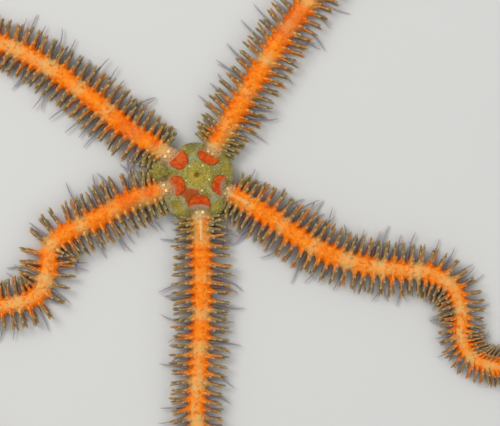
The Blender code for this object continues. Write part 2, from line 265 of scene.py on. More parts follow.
class Paint(Board):
    """The node tree of a material, with the few patterns that the finishes share."""

    def __init__(self, name: str) -> None:
        """Makes a new material and takes its tree, which holds the shader and its output.

        Args:
            name: The material's name.
        """
        self.material = bpy.data.materials.new(name)
        self.material.use_nodes = True
        super().__init__(self.material.node_tree)
        self.shader = self.tree.nodes["Principled BSDF"]

    def reading(self, name: str) -> Signal:
        """The number that an attribute of the piece holds."""
        return self.value("ShaderNodeAttribute", "Fac", {"attribute_name": name})

    def place(self) -> NodeSocket:
        """The object coordinates, in metres."""
        return self.out("ShaderNodeTexCoord", "Object")

    def grain(self, per_mm: float, detail: float = 3.0, rough: float = 0.55) -> Signal:
        """Noise in space from about 0.2 to 0.8, by its grains in a millimetre and its finer layers."""
        feeds = {"Vector": self.place(), "Scale": per_mm / MM, "Detail": detail, "Roughness": rough}
        return self.value("ShaderNodeTexNoise", "Fac", None, feeds)

    def beads(self, per_mm: float, narrow: float = 1.7) -> Signal:
        """Round beads about many scattered points: 1 in the middle of each and 0 between them."""
        feeds = {"Vector": self.place(), "Scale": per_mm / MM}
        return (1.0 - self.value("ShaderNodeTexVoronoi", "Distance", None, feeds) * narrow).clipped()

    def blend(self, share: Signal | float, under: Any, over: Any) -> NodeSocket:
        """Lays one colour over another, by the share of the upper one that shows."""
        return self.out("ShaderNodeMix", 2, {"data_type": "RGBA"}, {0: share, 6: under, 7: over})

    def mottled(self, under: Any, over: Any, mottle: Mottle, where: Signal | float = 1.0) -> NodeSocket:
        """Lays one colour over another in grains, as a whole or only where a mask is 1."""
        grains = self.grain(mottle.per_mm, mottle.detail, mottle.rough).step(mottle.low, mottle.high)
        return self.blend(grains * where * mottle.share, under, over)

    def spot(self, x: float, y: float, radius: float, soft: float) -> Signal:
        """A round mark seen from above.

        Args:
            x, y: Its middle in mm.
            radius: Its radius in mm.
            soft: How far its edge fades, in mm.

        Returns:
            1 inside the mark and 0 outside it.
        """
        flat = self.vectors("MULTIPLY", self.place(), (1.0, 1.0, 0.0)).outputs[0]
        away = Signal(self, self.vectors("DISTANCE", flat, (x * MM, y * MM, 0.0)).outputs["Value"])
        return away.step((radius + soft / 2) * MM, (radius - soft / 2) * MM)

    def spots(self, marks: Sequence[Mark]) -> Signal:
        """Several round marks, added up."""
        return sum((self.spot(*mark) for mark in marks), 0.0)

    def patch(self, edges: Sequence[Spot], soft: float, ragged: float) -> Signal:
        """A mark with several straight edges seen from above.

        Args:
            edges: The x and y of each edge's way out, and its distance in mm from the centre.
            soft: How far the edges fade, in mm.
            ragged: How far they wander, in mm.

        Returns:
            1 inside the mark and 0 outside it.
        """
        wander = (self.grain(1.1, 3.0, 0.6) - 0.5) * (4 * ragged * MM)
        found: Signal | float = 1.0
        for x, y, reach in edges:
            away = Signal(self, self.vectors("DOT_PRODUCT", self.place(), (x, y, 0.0)).outputs["Value"])
            found = (away + wander).step(reach * MM, (reach - soft) * MM) * found
        return found

    def finish(
        self, colour: Any, roughness: Signal | float, height: Signal | None, depth: float, **constants: Any
    ) -> Material:
        """Feeds the shader.

        Args:
            colour: The base colour.
            roughness: The roughness.
            height: The relief, from 0 to 1, if any.
            depth: How deep the relief is, in mm.
            constants: The shader's other sockets, which are the same all over, by their names
                with _ for spaces.

        Returns:
            The finished material.
        """
        self.feed(self.shader.inputs["Base Color"], colour)
        self.feed(self.shader.inputs["Roughness"], roughness)
        if height is not None:
            feeds = {"Strength": 1.0, "Distance": depth * MM, "Height": height}
            self.feed(self.shader.inputs["Normal"], self.out("ShaderNodeBump", "Normal", None, feeds))
        for name, value in constants.items():
            self.shader.inputs[name.replace("_", " ")].default_value = value
        return self.material


# Finishes


@dataclass(frozen=True)
class ArmColours:
    """The colours along an arm, which its skin and the roots of its spines share."""

    deep: Colour = linear(0.96, 0.48, 0.0)
    orange: Colour = linear(0.97, 0.55, 0.08)
    pale: Colour = linear(0.94, 0.65, 0.32)
    cream: Colour = linear(0.80, 0.70, 0.44)
    line: Colour = linear(0.94, 0.76, 0.56)
    # shade is the darker orange of the painted shade, in patches and in the grooves
    shade: Colour = linear(0.82, 0.38, 0.0)
    ember: Colour = linear(0.87, 0.34, 0.03)
    cuff: Colour = linear(0.72, 0.64, 0.48)
    blush: Colour = linear(0.84, 0.60, 0.40)
    # tan is also the painted shade in the grooves of the underside
    tan: Colour = linear(0.68, 0.54, 0.26)
    fleck: Colour = linear(0.56, 0.30, 0.06)
    belly: Colour = linear(0.80, 0.70, 0.46)
    oranges: Mottle = Mottle(0.8, 0.42, 0.60, detail=2.0)
    clouds: Mottle = Mottle(1.2, 0.47, 0.60, 0.85, rough=0.6)
    shadows: Mottle = Mottle(1.3, 0.46, 0.34, 0.7, detail=2.0)
    flecks: Mottle = Mottle(1.9, 0.67, 0.76, 0.25, detail=2.0)
    belly_clouds: Mottle = Mottle(1.2, 0.55, 0.75, 0.35, rough=0.7)
    beads_per_mm: float = 1.3

    def mixed(self, paint: Paint, pale: Signal) -> NodeSocket:
        """The mottled orange, with its pale bands, the paler line on its back and patches of painted shade.

        Args:
            paint: The tree to add to.
            pale: How pale the band is at each place, where more than 1 is the line.

        Returns:
            The colour.
        """
        colour = paint.mottled(self.deep, self.orange, self.oranges)
        ragged = (pale * 1.2 + paint.grain(0.9, 3.0, 0.6) * 1.4 - 0.75).step(0.0, 0.9)
        colour = paint.blend(ragged * 0.9, colour, self.pale)
        colour = paint.mottled(colour, self.cream, self.clouds, (pale * 1.5 - 0.1).clipped())
        colour = paint.blend(paint.beads(self.beads_per_mm).step(0.35, 0.75) * 0.45, colour, self.pale)
        # Painted shade: darker orange patches scattered at random, standing in for the shade in the skin's
        # pits
        colour = paint.mottled(colour, self.shade, self.shadows)
        return paint.blend((pale * 3.0 - 3.0).clipped(), colour, self.line)


@dataclass(frozen=True)
class DiscColours:
    """The colours of the disc, those of its upper side first and that of its underside last."""

    olive: Colour = linear(0.53, 0.46, 0.15)
    yellow: Colour = linear(0.69, 0.60, 0.17)
    grey: Colour = linear(0.59, 0.55, 0.42)
    speck: Colour = linear(0.72, 0.68, 0.42)
    rust: Colour = linear(0.62, 0.26, 0.05)
    stain: Colour = linear(0.68, 0.36, 0.12)
    # dark is also the painted shadow in the grooves round the shields
    dark: Colour = linear(0.27, 0.22, 0.06)
    brown: Colour = linear(0.44, 0.31, 0.0)
    milk: Colour = linear(0.62, 0.68, 0.58)
    belly: Colour = linear(0.66, 0.60, 0.34)
    greys: Mottle = Mottle(0.5, 0.42, 0.58)
    light_clouds: Mottle = Mottle(1.1, 0.52, 0.70, 0.5, 4.0, 0.65)
    dark_clouds: Mottle = Mottle(1.1, 0.46, 0.30, 0.45, 4.0, 0.65)
    stains: Mottle = Mottle(1.6, 0.5, 0.65, 0.6, rough=0.6)


@dataclass(frozen=True)
class SkinFinish:
    """The skin of the arms and the disc: thin, damp and finely granular."""

    arm: ArmColours = ArmColours()
    disc: DiscColours = DiscColours()
    roughness: float = 0.38
    grain_depth: float = 0.11

    def material(self) -> Material:
        """Makes the material, which reads the skin's attributes.

        Returns:
            The material.
        """
        paint = Paint("skin")
        on_disc = paint.reading("disc")
        colour = paint.blend(on_disc, self.arm_colour(paint), self.disc_colour(paint))
        pink = paint.grain(1.5, 3.0, 0.7) - 0.4 + paint.spots(BLUSHES) * 0.8
        edging = paint.blend(pink.clipped(), self.arm.cuff, self.arm.blush)
        cuff = paint.reading("cuff") * (paint.grain(2.2, 2.0) * 0.9 + 0.6)
        colour = paint.blend(cuff.clipped(), colour, edging)
        fine = paint.grain(6.0, 4.0, 0.65)
        beads = paint.beads(self.arm.beads_per_mm) * (1.0 - on_disc * 0.5)
        height = fine * 0.4 + paint.beads(3.2, 1.6) * 0.5 + beads
        return paint.finish(
            colour,
            fine * 0.25 + self.roughness,
            height,
            self.grain_depth,
            Subsurface_Weight=0.08,
            Subsurface_Scale=0.4 * MM,
            Subsurface_Radius=(1.0, 0.45, 0.15),
            Specular_IOR_Level=0.14,
        )

    def arm_colour(self, paint: Paint) -> NodeSocket:
        """The banded orange of the arms, with tan flanks, redder places, a pale underside and painted shade
        in the grooves.

        Args:
            paint: The tree to add to.

        Returns:
            The colour.
        """
        tones, pale, groove = self.arm, paint.reading("pale"), paint.reading("groove")
        colour = paint.mottled(tones.mixed(paint, pale), tones.fleck, tones.flecks)
        tan = paint.reading("tan") * (paint.grain(1.2, 3.0, 0.7) * 3.0 - 0.7).clipped()
        colour = paint.blend(tan, colour, paint.blend(pale.clipped(), tones.tan, tones.cream))
        ember = paint.grain(1.4) - 0.8 + paint.spots(EMBERS) * 0.9
        colour = paint.blend(ember.clipped() * 0.8, colour, tones.ember)
        # Painted shade: the grooves between the plates darkened towards the shade colour
        colour = paint.blend(groove * 0.3, colour, tones.shade)
        # Painted shade on the underside: its grooves darkened towards tan
        belly = paint.blend(groove * 0.7, tones.belly, tones.tan)
        belly = paint.mottled(belly, tones.orange, tones.belly_clouds)
        return paint.blend(paint.reading("lift").step(-0.25, -0.6) * 0.9, colour, belly)

    def disc_colour(self, paint: Paint) -> NodeSocket:
        """The olive of the disc with its yellow lobes, rusty blotch, dark centre and painted shadow in the
        grooves round the shields.

        Args:
            paint: The tree to add to.

        Returns:
            The colour.
        """
        tones, lift = self.disc, paint.reading("lift")
        colour = paint.mottled(tones.olive, tones.grey, tones.greys)
        yellow = paint.spot(*YELLOW_MIDDLE) * 0.9 + paint.spots(YELLOW_LOBES) * 0.6
        colour = paint.blend(yellow.clipped(), colour, tones.yellow)
        colour = paint.blend(paint.spot(*MILKY_MARK) * 0.8, colour, tones.milk)
        colour = paint.blend(paint.spots(DUSKY_LOBES) * 0.56, colour, tones.dark)
        colour = paint.mottled(colour, tones.speck, tones.light_clouds)
        colour = paint.mottled(colour, tones.dark, tones.dark_clouds)
        colour = paint.blend(paint.beads(2.0).step(0.4, 0.8) * 0.3, colour, tones.speck)
        rusty = paint.mottled(tones.rust, tones.stain, tones.stains)
        blotch = paint.patch(BLOTCH, soft=0.6, ragged=0.25) * lift.step(-0.2, 0.2)
        colour = paint.blend(blotch * 0.95, colour, rusty)
        # Painted shadow: the grooves round the shields darkened, as if the disc's skin overhangs them
        colour = paint.blend(paint.reading("groove") * 0.7, colour, tones.dark)
        centre = (paint.spot(0.0, 0.0, 0.5, 0.5) + paint.grain(1.8, 2.0) * 0.8 - 0.4).clipped()
        colour = paint.blend(centre * paint.spot(0.0, 0.0, 0.8, 0.3), colour, tones.brown)
        return paint.blend(lift.step(0.0, -0.6) * 0.75, colour, tones.belly)


@dataclass(frozen=True)
class ShieldFinish:
    """The bare red-orange plates over the roots of the arms."""

    red: Colour = linear(0.70, 0.23, 0.0)
    orange: Colour = linear(0.79, 0.33, 0.04)
    grey: Colour = linear(0.64, 0.53, 0.42)
    oranges: Mottle = Mottle(1.4, 0.42, 0.62, rough=0.6)

    def material(self) -> Material:
        """Makes the material, which pales towards the outer edge of each plate.

        Returns:
            The material.
        """
        paint = Paint("radial_shield")
        outer = (paint.reading("outer") + paint.grain(1.6, 2.0) * 0.5 - 0.25).step(0.2, 0.9)
        colour = paint.blend(outer * 0.9, paint.mottled(self.red, self.orange, self.oranges), self.grey)
        fine = paint.grain(7.0)
        return paint.finish(colour, fine * 0.2 + 0.4, fine, 0.03, Specular_IOR_Level=0.14)


@dataclass(frozen=True)
class SpineFinish:
    """Spines like dull glass: orange where they leave the arm, tan and greenish beyond."""

    arm: ArmColours = ArmColours()
    shaft: Colour = linear(0.62, 0.49, 0.30)
    smoke: Colour = linear(0.52, 0.46, 0.36)
    amber: Colour = linear(0.75, 0.45, 0.19)
    green: Colour = linear(0.56, 0.51, 0.28)
    tip: Colour = linear(0.82, 0.74, 0.50)
    # Cream grains over the spines, partly pale flecks and partly painted glints
    pale_grains_and_glints: Mottle = Mottle(1.8, 0.56, 0.70, 0.3, detail=2.0)
    greener: Mark = (0.0, 0.0, 10.0, 5.0)

    def material(self) -> Material:
        """Makes the material, which reads how far along its spine each point is.

        Returns:
            The material.
        """
        paint = Paint("spine")
        reach, tint = paint.reading("reach"), paint.reading("tint")
        shaft = paint.blend(tint.step(0.2, 0.8), self.shaft, self.smoke)
        shaft = paint.blend(tint.step(0.2, 0.05) * 0.8, shaft, self.amber)
        shaft = paint.blend(paint.spot(*self.greener) * 0.6, shaft, self.green)
        rooted = (reach + tint * 0.16 - paint.reading("warm") * 0.32).step(0.20, 0.50)
        colour = paint.blend(rooted, self.arm.mixed(paint, paint.reading("pale")), shaft)
        # Partly painted glints: cream grains of the tip colour scattered over the spines
        colour = paint.mottled(colour, self.tip, self.pale_grains_and_glints)
        colour = paint.blend(reach.step(0.84, 1.0) * 0.5, colour, self.tip)
        fine = paint.grain(7.0, 2.0)
        constants = {"Subsurface_Weight": 0.25, "Subsurface_Scale": 0.4 * MM, "Specular_IOR_Level": 0.2}
        return paint.finish(colour, fine * 0.2 + 0.35, fine, 0.02, **constants)


@dataclass(frozen=True)
class FootFinish:
    """The soft bluish tube feet."""

    root: Colour = linear(0.72, 0.62, 0.50)
    shaft: Colour = linear(0.60, 0.59, 0.62)
    tip: Colour = linear(0.70, 0.64, 0.62)

    def material(self) -> Material:
        """Makes the material, which reads how far along its foot each point is.

        Returns:
            The material.
        """
        paint = Paint("tube_foot")
        reach = paint.reading("reach")
        colour = paint.blend(reach.step(0.1, 0.4), self.root, self.shaft)
        colour = paint.blend(reach.step(0.75, 1.0), colour, self.tip)
        rings = paint.grain(6.0, 2.0)
        constants = {"Subsurface_Weight": 0.2, "Subsurface_Scale": 0.3 * MM, "Specular_IOR_Level": 0.3}
        return paint.finish(colour, rings * 0.15 + 0.25, rings, 0.01, **constants)


@dataclass(frozen=True)
class GranuleFinish:
    """Small hard grains, each with its own tint between two colours."""

    name: str
    dull: Colour
    bright: Colour

    def material(self) -> Material:
        """Makes the material, which reads each grain's tint.

        Returns:
            The material.
        """
        paint = Paint(self.name)
        colour = paint.blend(paint.reading("tint"), self.dull, self.bright)
        fine = paint.grain(9.0, 2.0)
        constants = {"Subsurface_Weight": 0.15, "Subsurface_Scale": 0.3 * MM, "Specular_IOR_Level": 0.3}
        return paint.finish(colour, fine * 0.2 + 0.25, fine, 0.01, **constants)


@dataclass(frozen=True)
class FloorFinish:
    """A plain pale floor."""

    colour: Colour = linear(0.80, 0.80, 0.79)
    white: Colour = (1.0, 1.0, 1.0)
    roughness: float = 0.75

    def material(self) -> Material:
        """Makes the material, with a trace of broad clouds.

        Returns:
            The material.
        """
        paint = Paint("floor")
        clouded = paint.blend(paint.grain(0.02, 2.0) * 0.04, self.colour, self.white)
        return paint.finish(clouded, self.roughness, None, 0.0)


# Meshes


def store(mesh: Mesh, title: str, values: Any, domain: str = "POINT") -> None:
    """Stores numbers or vectors on a mesh as one of its attributes.

    Args:
        mesh: The mesh.
        title: The attribute's name.
        values: One number, or one row of three, for each element of the domain.
        domain: POINT or CORNER.
    """
    rows = np.array(values, np.float32)
    kind, key = ("FLOAT_VECTOR", "vector") if rows.ndim == 2 else ("FLOAT", "value")
    mesh.attributes.new(title, kind, domain).data.foreach_set(key, rows.ravel())


@dataclass
class Loft:
    """A closed form made of rings of points, with its ends drawn together."""

    rings: np.ndarray  # points by ring, then round the ring, then x, y and z
    # Numbers by ring and round the ring, with one more column than the rings have points, so that a map
    # needn't return to its start
    maps: dict[str, np.ndarray] = field(default_factory=dict)
    chart: np.ndarray | None = None  # the place of each of those on the bake map, if it has one

    def mesh(self, name: str) -> Mesh:
        """Makes the mesh, with its attributes and bake map on the face corners.

        Args:
            name: The name of the new mesh.

        Returns:
            The mesh, smooth all over.
        """
        count, around = self.rings.shape[:2]
        points = np.concatenate([self.rings.reshape(-1, 3), self.rings[[0, -1]].mean(axis=1)])
        ring, step = (grid.ravel() for grid in np.mgrid[: count - 1, :around])
        turn = np.arange(around)
        rows = np.stack([ring, ring, ring + 1, ring + 1], 1).ravel()
        columns = np.stack([step, step + 1, step + 1, step], 1).ravel()
        near, far = np.stack([turn, turn + 1, turn], 1).ravel(), np.stack([turn, turn, turn + 1], 1).ravel()
        rows = np.concatenate([rows, 0 * near, 0 * far + count - 1])
        columns = np.concatenate([columns, near, far])
        corners = rows * around + columns % around
        corners[-len(near) - len(far) : -len(far) : 3] = count * around
        corners[-len(far) :: 3] = count * around + 1
        sizes = np.repeat([4, 3], [len(ring), 2 * around])
        made = bpy.data.meshes.new(name)
        made.vertices.add(len(points))
        made.vertices.foreach_set("co", points.astype(np.float32).ravel())
        made.loops.add(len(corners))
        made.loops.foreach_set("vertex_index", corners.astype(np.int32))
        made.polygons.add(len(sizes))
        made.polygons.foreach_set("loop_start", (np.cumsum(sizes) - sizes).astype(np.int32))
        made.update(calc_edges=True)
        for title, values in self.maps.items():
            store(made, title, values[rows, columns], "CORNER")
        if self.chart is not None:
            places = self.chart[rows, columns].astype(np.float32)
            made.uv_layers.new(name=BAKE_MAP).data.foreach_set("uv", places.ravel())
        made.shade_smooth()
        made.validate()
        return made


def show(name: str, data: Any) -> Object:
    """Shows a mesh, light or camera in the scene.

    Args:
        name: The new object's name.
        data: What it shows.

    Returns:
        The object.
    """
    made = bpy.data.objects.new(name, data)
    bpy.context.scene.collection.objects.link(made)
    return made


def dress(name: str, mesh: Mesh, material: Material) -> Object:
    """Puts a mesh in the scene as a finished piece that rides on the body.

    Args:
        name: The piece's name.
        mesh: Its mesh.
        material: Its material.

    Returns:
        The piece.
    """
    mesh.name = name
    mesh.materials.clear()
    mesh.materials.append(material)
    made = show(name, mesh)
    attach(made, BODY)
    log.info("%s: %d faces", name, len(mesh.polygons))
    return made


def evaluated_mesh(source: Object) -> Mesh:
    """Makes plain data of what an object's modifiers make.

    Args:
        source: The object with its modifiers.

    Returns:
        The mesh.
    """
    bpy.context.view_layer.update()
    graph = bpy.context.evaluated_depsgraph_get()
    return bpy.data.meshes.new_from_object(source.evaluated_get(graph), depsgraph=graph)


class Strip(Enum):
    """The strips of the bake map, from its foot up."""

    ARM_1 = 0
    ARM_2 = 1
    ARM_3 = 2
    ARM_4 = 3
    ARM_5 = 4
    DISC = 5
    PLATES = 6

    def chart(self, along: Number, around: Number) -> np.ndarray:
        """Places on this strip, clear of its edges.

        Args:
            along: The share of the way along the strip.
            around: The share of the way across it.

        Returns:
            The places on the bake map.
        """
        end, edge = 0.004, 0.03
        across = (self.value + edge + (1.0 - 2.0 * edge) * around) / len(Strip)
        return np.stack(np.broadcast_arrays(end + (1.0 - 2.0 * end) * along, across), -1)

    def home(self, along: float, around: float) -> Spot:
        """One place on this strip, as the attribute of a small form holds it."""
        return (*self.chart(along, around).tolist(), 0.0)


class Shaping(Board):
    """A Geometry Nodes tree that turns a plain mesh with attributes into small forms.

    Every such tree ends by giving each form its patch of the bake map and its material.
    """

    def __init__(self, name: str, entries: dict[str, str]) -> None:
        """Makes the tree and its sockets.

        Args:
            name: The tree's name.
            entries: The type of each input besides the geometry, by its name.
        """
        super().__init__(bpy.data.node_groups.new(name, "GeometryNodeTree"))
        kinds = {"Geometry": "NodeSocketGeometry", **entries}
        kinds |= {"Patch": "NodeSocketFloat", "Finish": "NodeSocketMaterial"}
        sockets = self.tree.interface
        self.entries = {
            title: sockets.new_socket(title, in_out="INPUT", socket_type=kind).identifier
            for title, kind in kinds.items()
        }
        sockets.new_socket("Geometry", in_out="OUTPUT", socket_type="NodeSocketGeometry")
        self.given = self.node("NodeGroupInput").outputs

    def named(self, name: str, kind: str = "FLOAT_VECTOR") -> NodeSocket:
        """The attribute of a name."""
        return self.out("GeometryNodeInputNamedAttribute", 0, {"data_type": kind}, {"Name": name})

    def close(self, geometry: NodeSocket, patch: NodeSocket) -> None:
        """Realizes the forms, stores the bake map, sets the material and ends the tree.

        Args:
            geometry: The finished forms.
            patch: Each point's place on its form's own patch, from 0 to 1.
        """
        whole = self.out("GeometryNodeRealizeInstances", 0, None, {"Geometry": geometry})
        centred = self.vectors("SUBTRACT", patch, (0.5, 0.5, 0.0)).outputs[0]
        scaled = self.vectors("SCALE", centred, self.given["Patch"]).outputs[0]
        chart = self.vectors("ADD", self.named("home"), scaled).outputs[0]
        settings = {"data_type": "FLOAT2", "domain": "CORNER"}
        feeds = {"Geometry": whole, "Name": BAKE_MAP, "Value": chart}
        stored = self.out("GeometryNodeStoreNamedAttribute", 0, settings, feeds)
        feeds = {"Geometry": stored, "Material": self.given["Finish"]}
        self.node("NodeGroupOutput", None, {0: self.out("GeometryNodeSetMaterial", 0, None, feeds)})

    def shape(self, source: Mesh, finish: Material, **values: Any) -> Mesh:
        """Runs the tree on a mesh.

        Args:
            source: The points or lines with their attributes.
            finish: The material of the forms.
            values: The inputs, by their names.

        Returns:
            The forms as one plain mesh.
        """
        carrier = show("carrier", source)
        modifier = carrier.modifiers.new("shaping", "NODES")
        modifier.node_group = self.tree
        for title, value in {**values, "Patch": PATCH, "Finish": finish}.items():
            modifier[self.entries[title]] = value
        made = evaluated_mesh(carrier)
        carrier.modifiers.remove(modifier)
        bpy.data.objects.remove(carrier, do_unlink=True)
        for title in ("facing", "size", "home", "patch", "girth", "turn"):
            if title in made.attributes:
                made.attributes.remove(made.attributes[title])
        return made


class Strewing(Shaping):
    """Sets one of a few small forms on every point of a mesh.

    The points carry the attributes facing, size, home, tint, pale and warm.
    """

    def __init__(self) -> None:
        """Builds the tree."""
        entries = {"Forms": "NodeSocketCollection", "Seed": "NodeSocketInt", "Roll": "NodeSocketFloat"}
        super().__init__("strewing", entries)
        feeds = {"Collection": self.given["Forms"], "Separate Children": True, "Reset Children": True}
        forms = self.out("GeometryNodeCollectionInfo", 0, {"transform_space": "ORIGINAL"}, feeds)
        feeds = {"Vector": self.named("facing")}
        turn = self.out("FunctionNodeAlignRotationToVector", 0, {"axis": "Z"}, feeds)
        feeds = {2: 0.0, 3: self.given["Roll"], "Seed": self.given["Seed"]}
        roll = self.out("FunctionNodeRandomValue", 1, {"data_type": "FLOAT"}, feeds)
        feeds = {"Axis": (0.0, 0.0, 1.0), "Angle": roll}
        spin = self.out("FunctionNodeAxisAngleToRotation", 0, None, feeds)
        feeds = {"Rotation": turn, "Rotate By": spin}
        rolled = self.out("FunctionNodeRotateRotation", 0, {"rotation_space": "LOCAL"}, feeds)
        feeds = {4: 0, 5: 1000, "Seed": self.given["Seed"]}
        pick = self.out("FunctionNodeRandomValue", 2, {"data_type": "INT"}, feeds)
        feeds = {
            "Points": self.given["Geometry"],
            "Instance": forms,
            "Pick Instance": True,
            "Instance Index": pick,
            "Rotation": rolled,
            "Scale": self.named("size"),
        }
        self.close(self.out("GeometryNodeInstanceOnPoints", 0, None, feeds), self.named("patch"))


class Drawing(Shaping):
    """Draws a soft tapering tube along every line of a mesh.

    The lines carry the attributes girth, reach and home.
    """

    def __init__(self) -> None:
        """Builds the tree."""
        super().__init__("drawing", {"Sides": "NodeSocketInt"})
        lines = self.out("GeometryNodeMeshToCurve", 0, None, {"Mesh": self.given["Geometry"]})
        feeds = {"Resolution": self.given["Sides"]}
        outline = self.out("GeometryNodeCurvePrimitiveCircle", 0, {"mode": "RADIUS"}, feeds)
        factor = self.out("GeometryNodeSplineParameter", "Factor")
        feeds = {"Geometry": outline, "Name": "turn", "Value": factor}
        settings = {"data_type": "FLOAT", "domain": "POINT"}
        turned = self.out("GeometryNodeStoreNamedAttribute", 0, settings, feeds)
        feeds = {
            "Curve": lines,
            "Profile Curve": turned,
            "Scale": self.named("girth", "FLOAT"),
            "Fill Caps": True,
        }
        tubes = self.out("GeometryNodeCurveToMesh", 0, None, feeds)
        soft = self.out("GeometryNodeSetShadeSmooth", 0, None, {"Geometry": tubes})
        feeds = {"X": self.named("turn", "FLOAT"), "Y": self.named("reach", "FLOAT")}
        self.close(soft, self.out("ShaderNodeCombineXYZ", 0, None, feeds))


@dataclass
class Sprig:
    """One small form that stands on the skin."""

    place: Vector
    facing: Vector
    size: Spot  # its size across, across and along
    home: Spot
    tint: float  # a number from 0 to 1 for its colour
    pale: float = 0.0  # how pale the arm is at its root
    warm: float = 0.0  # how far along it its root's colour reaches


def sprig_mesh(sprigs: Sequence[Sprig]) -> Mesh:
    """Makes a mesh of loose points, which carry what the small forms need.

    Args:
        sprigs: The forms.

    Returns:
        The mesh, with a point for each form and an attribute for each number.
    """
    made = bpy.data.meshes.new("points")
    made.from_pydata([tuple(sprig.place) for sprig in sprigs], [], [])
    for title in ("facing", "size", "home", "tint", "pale", "warm"):
        store(made, title, [getattr(sprig, title) for sprig in sprigs])
    return made


# The disc


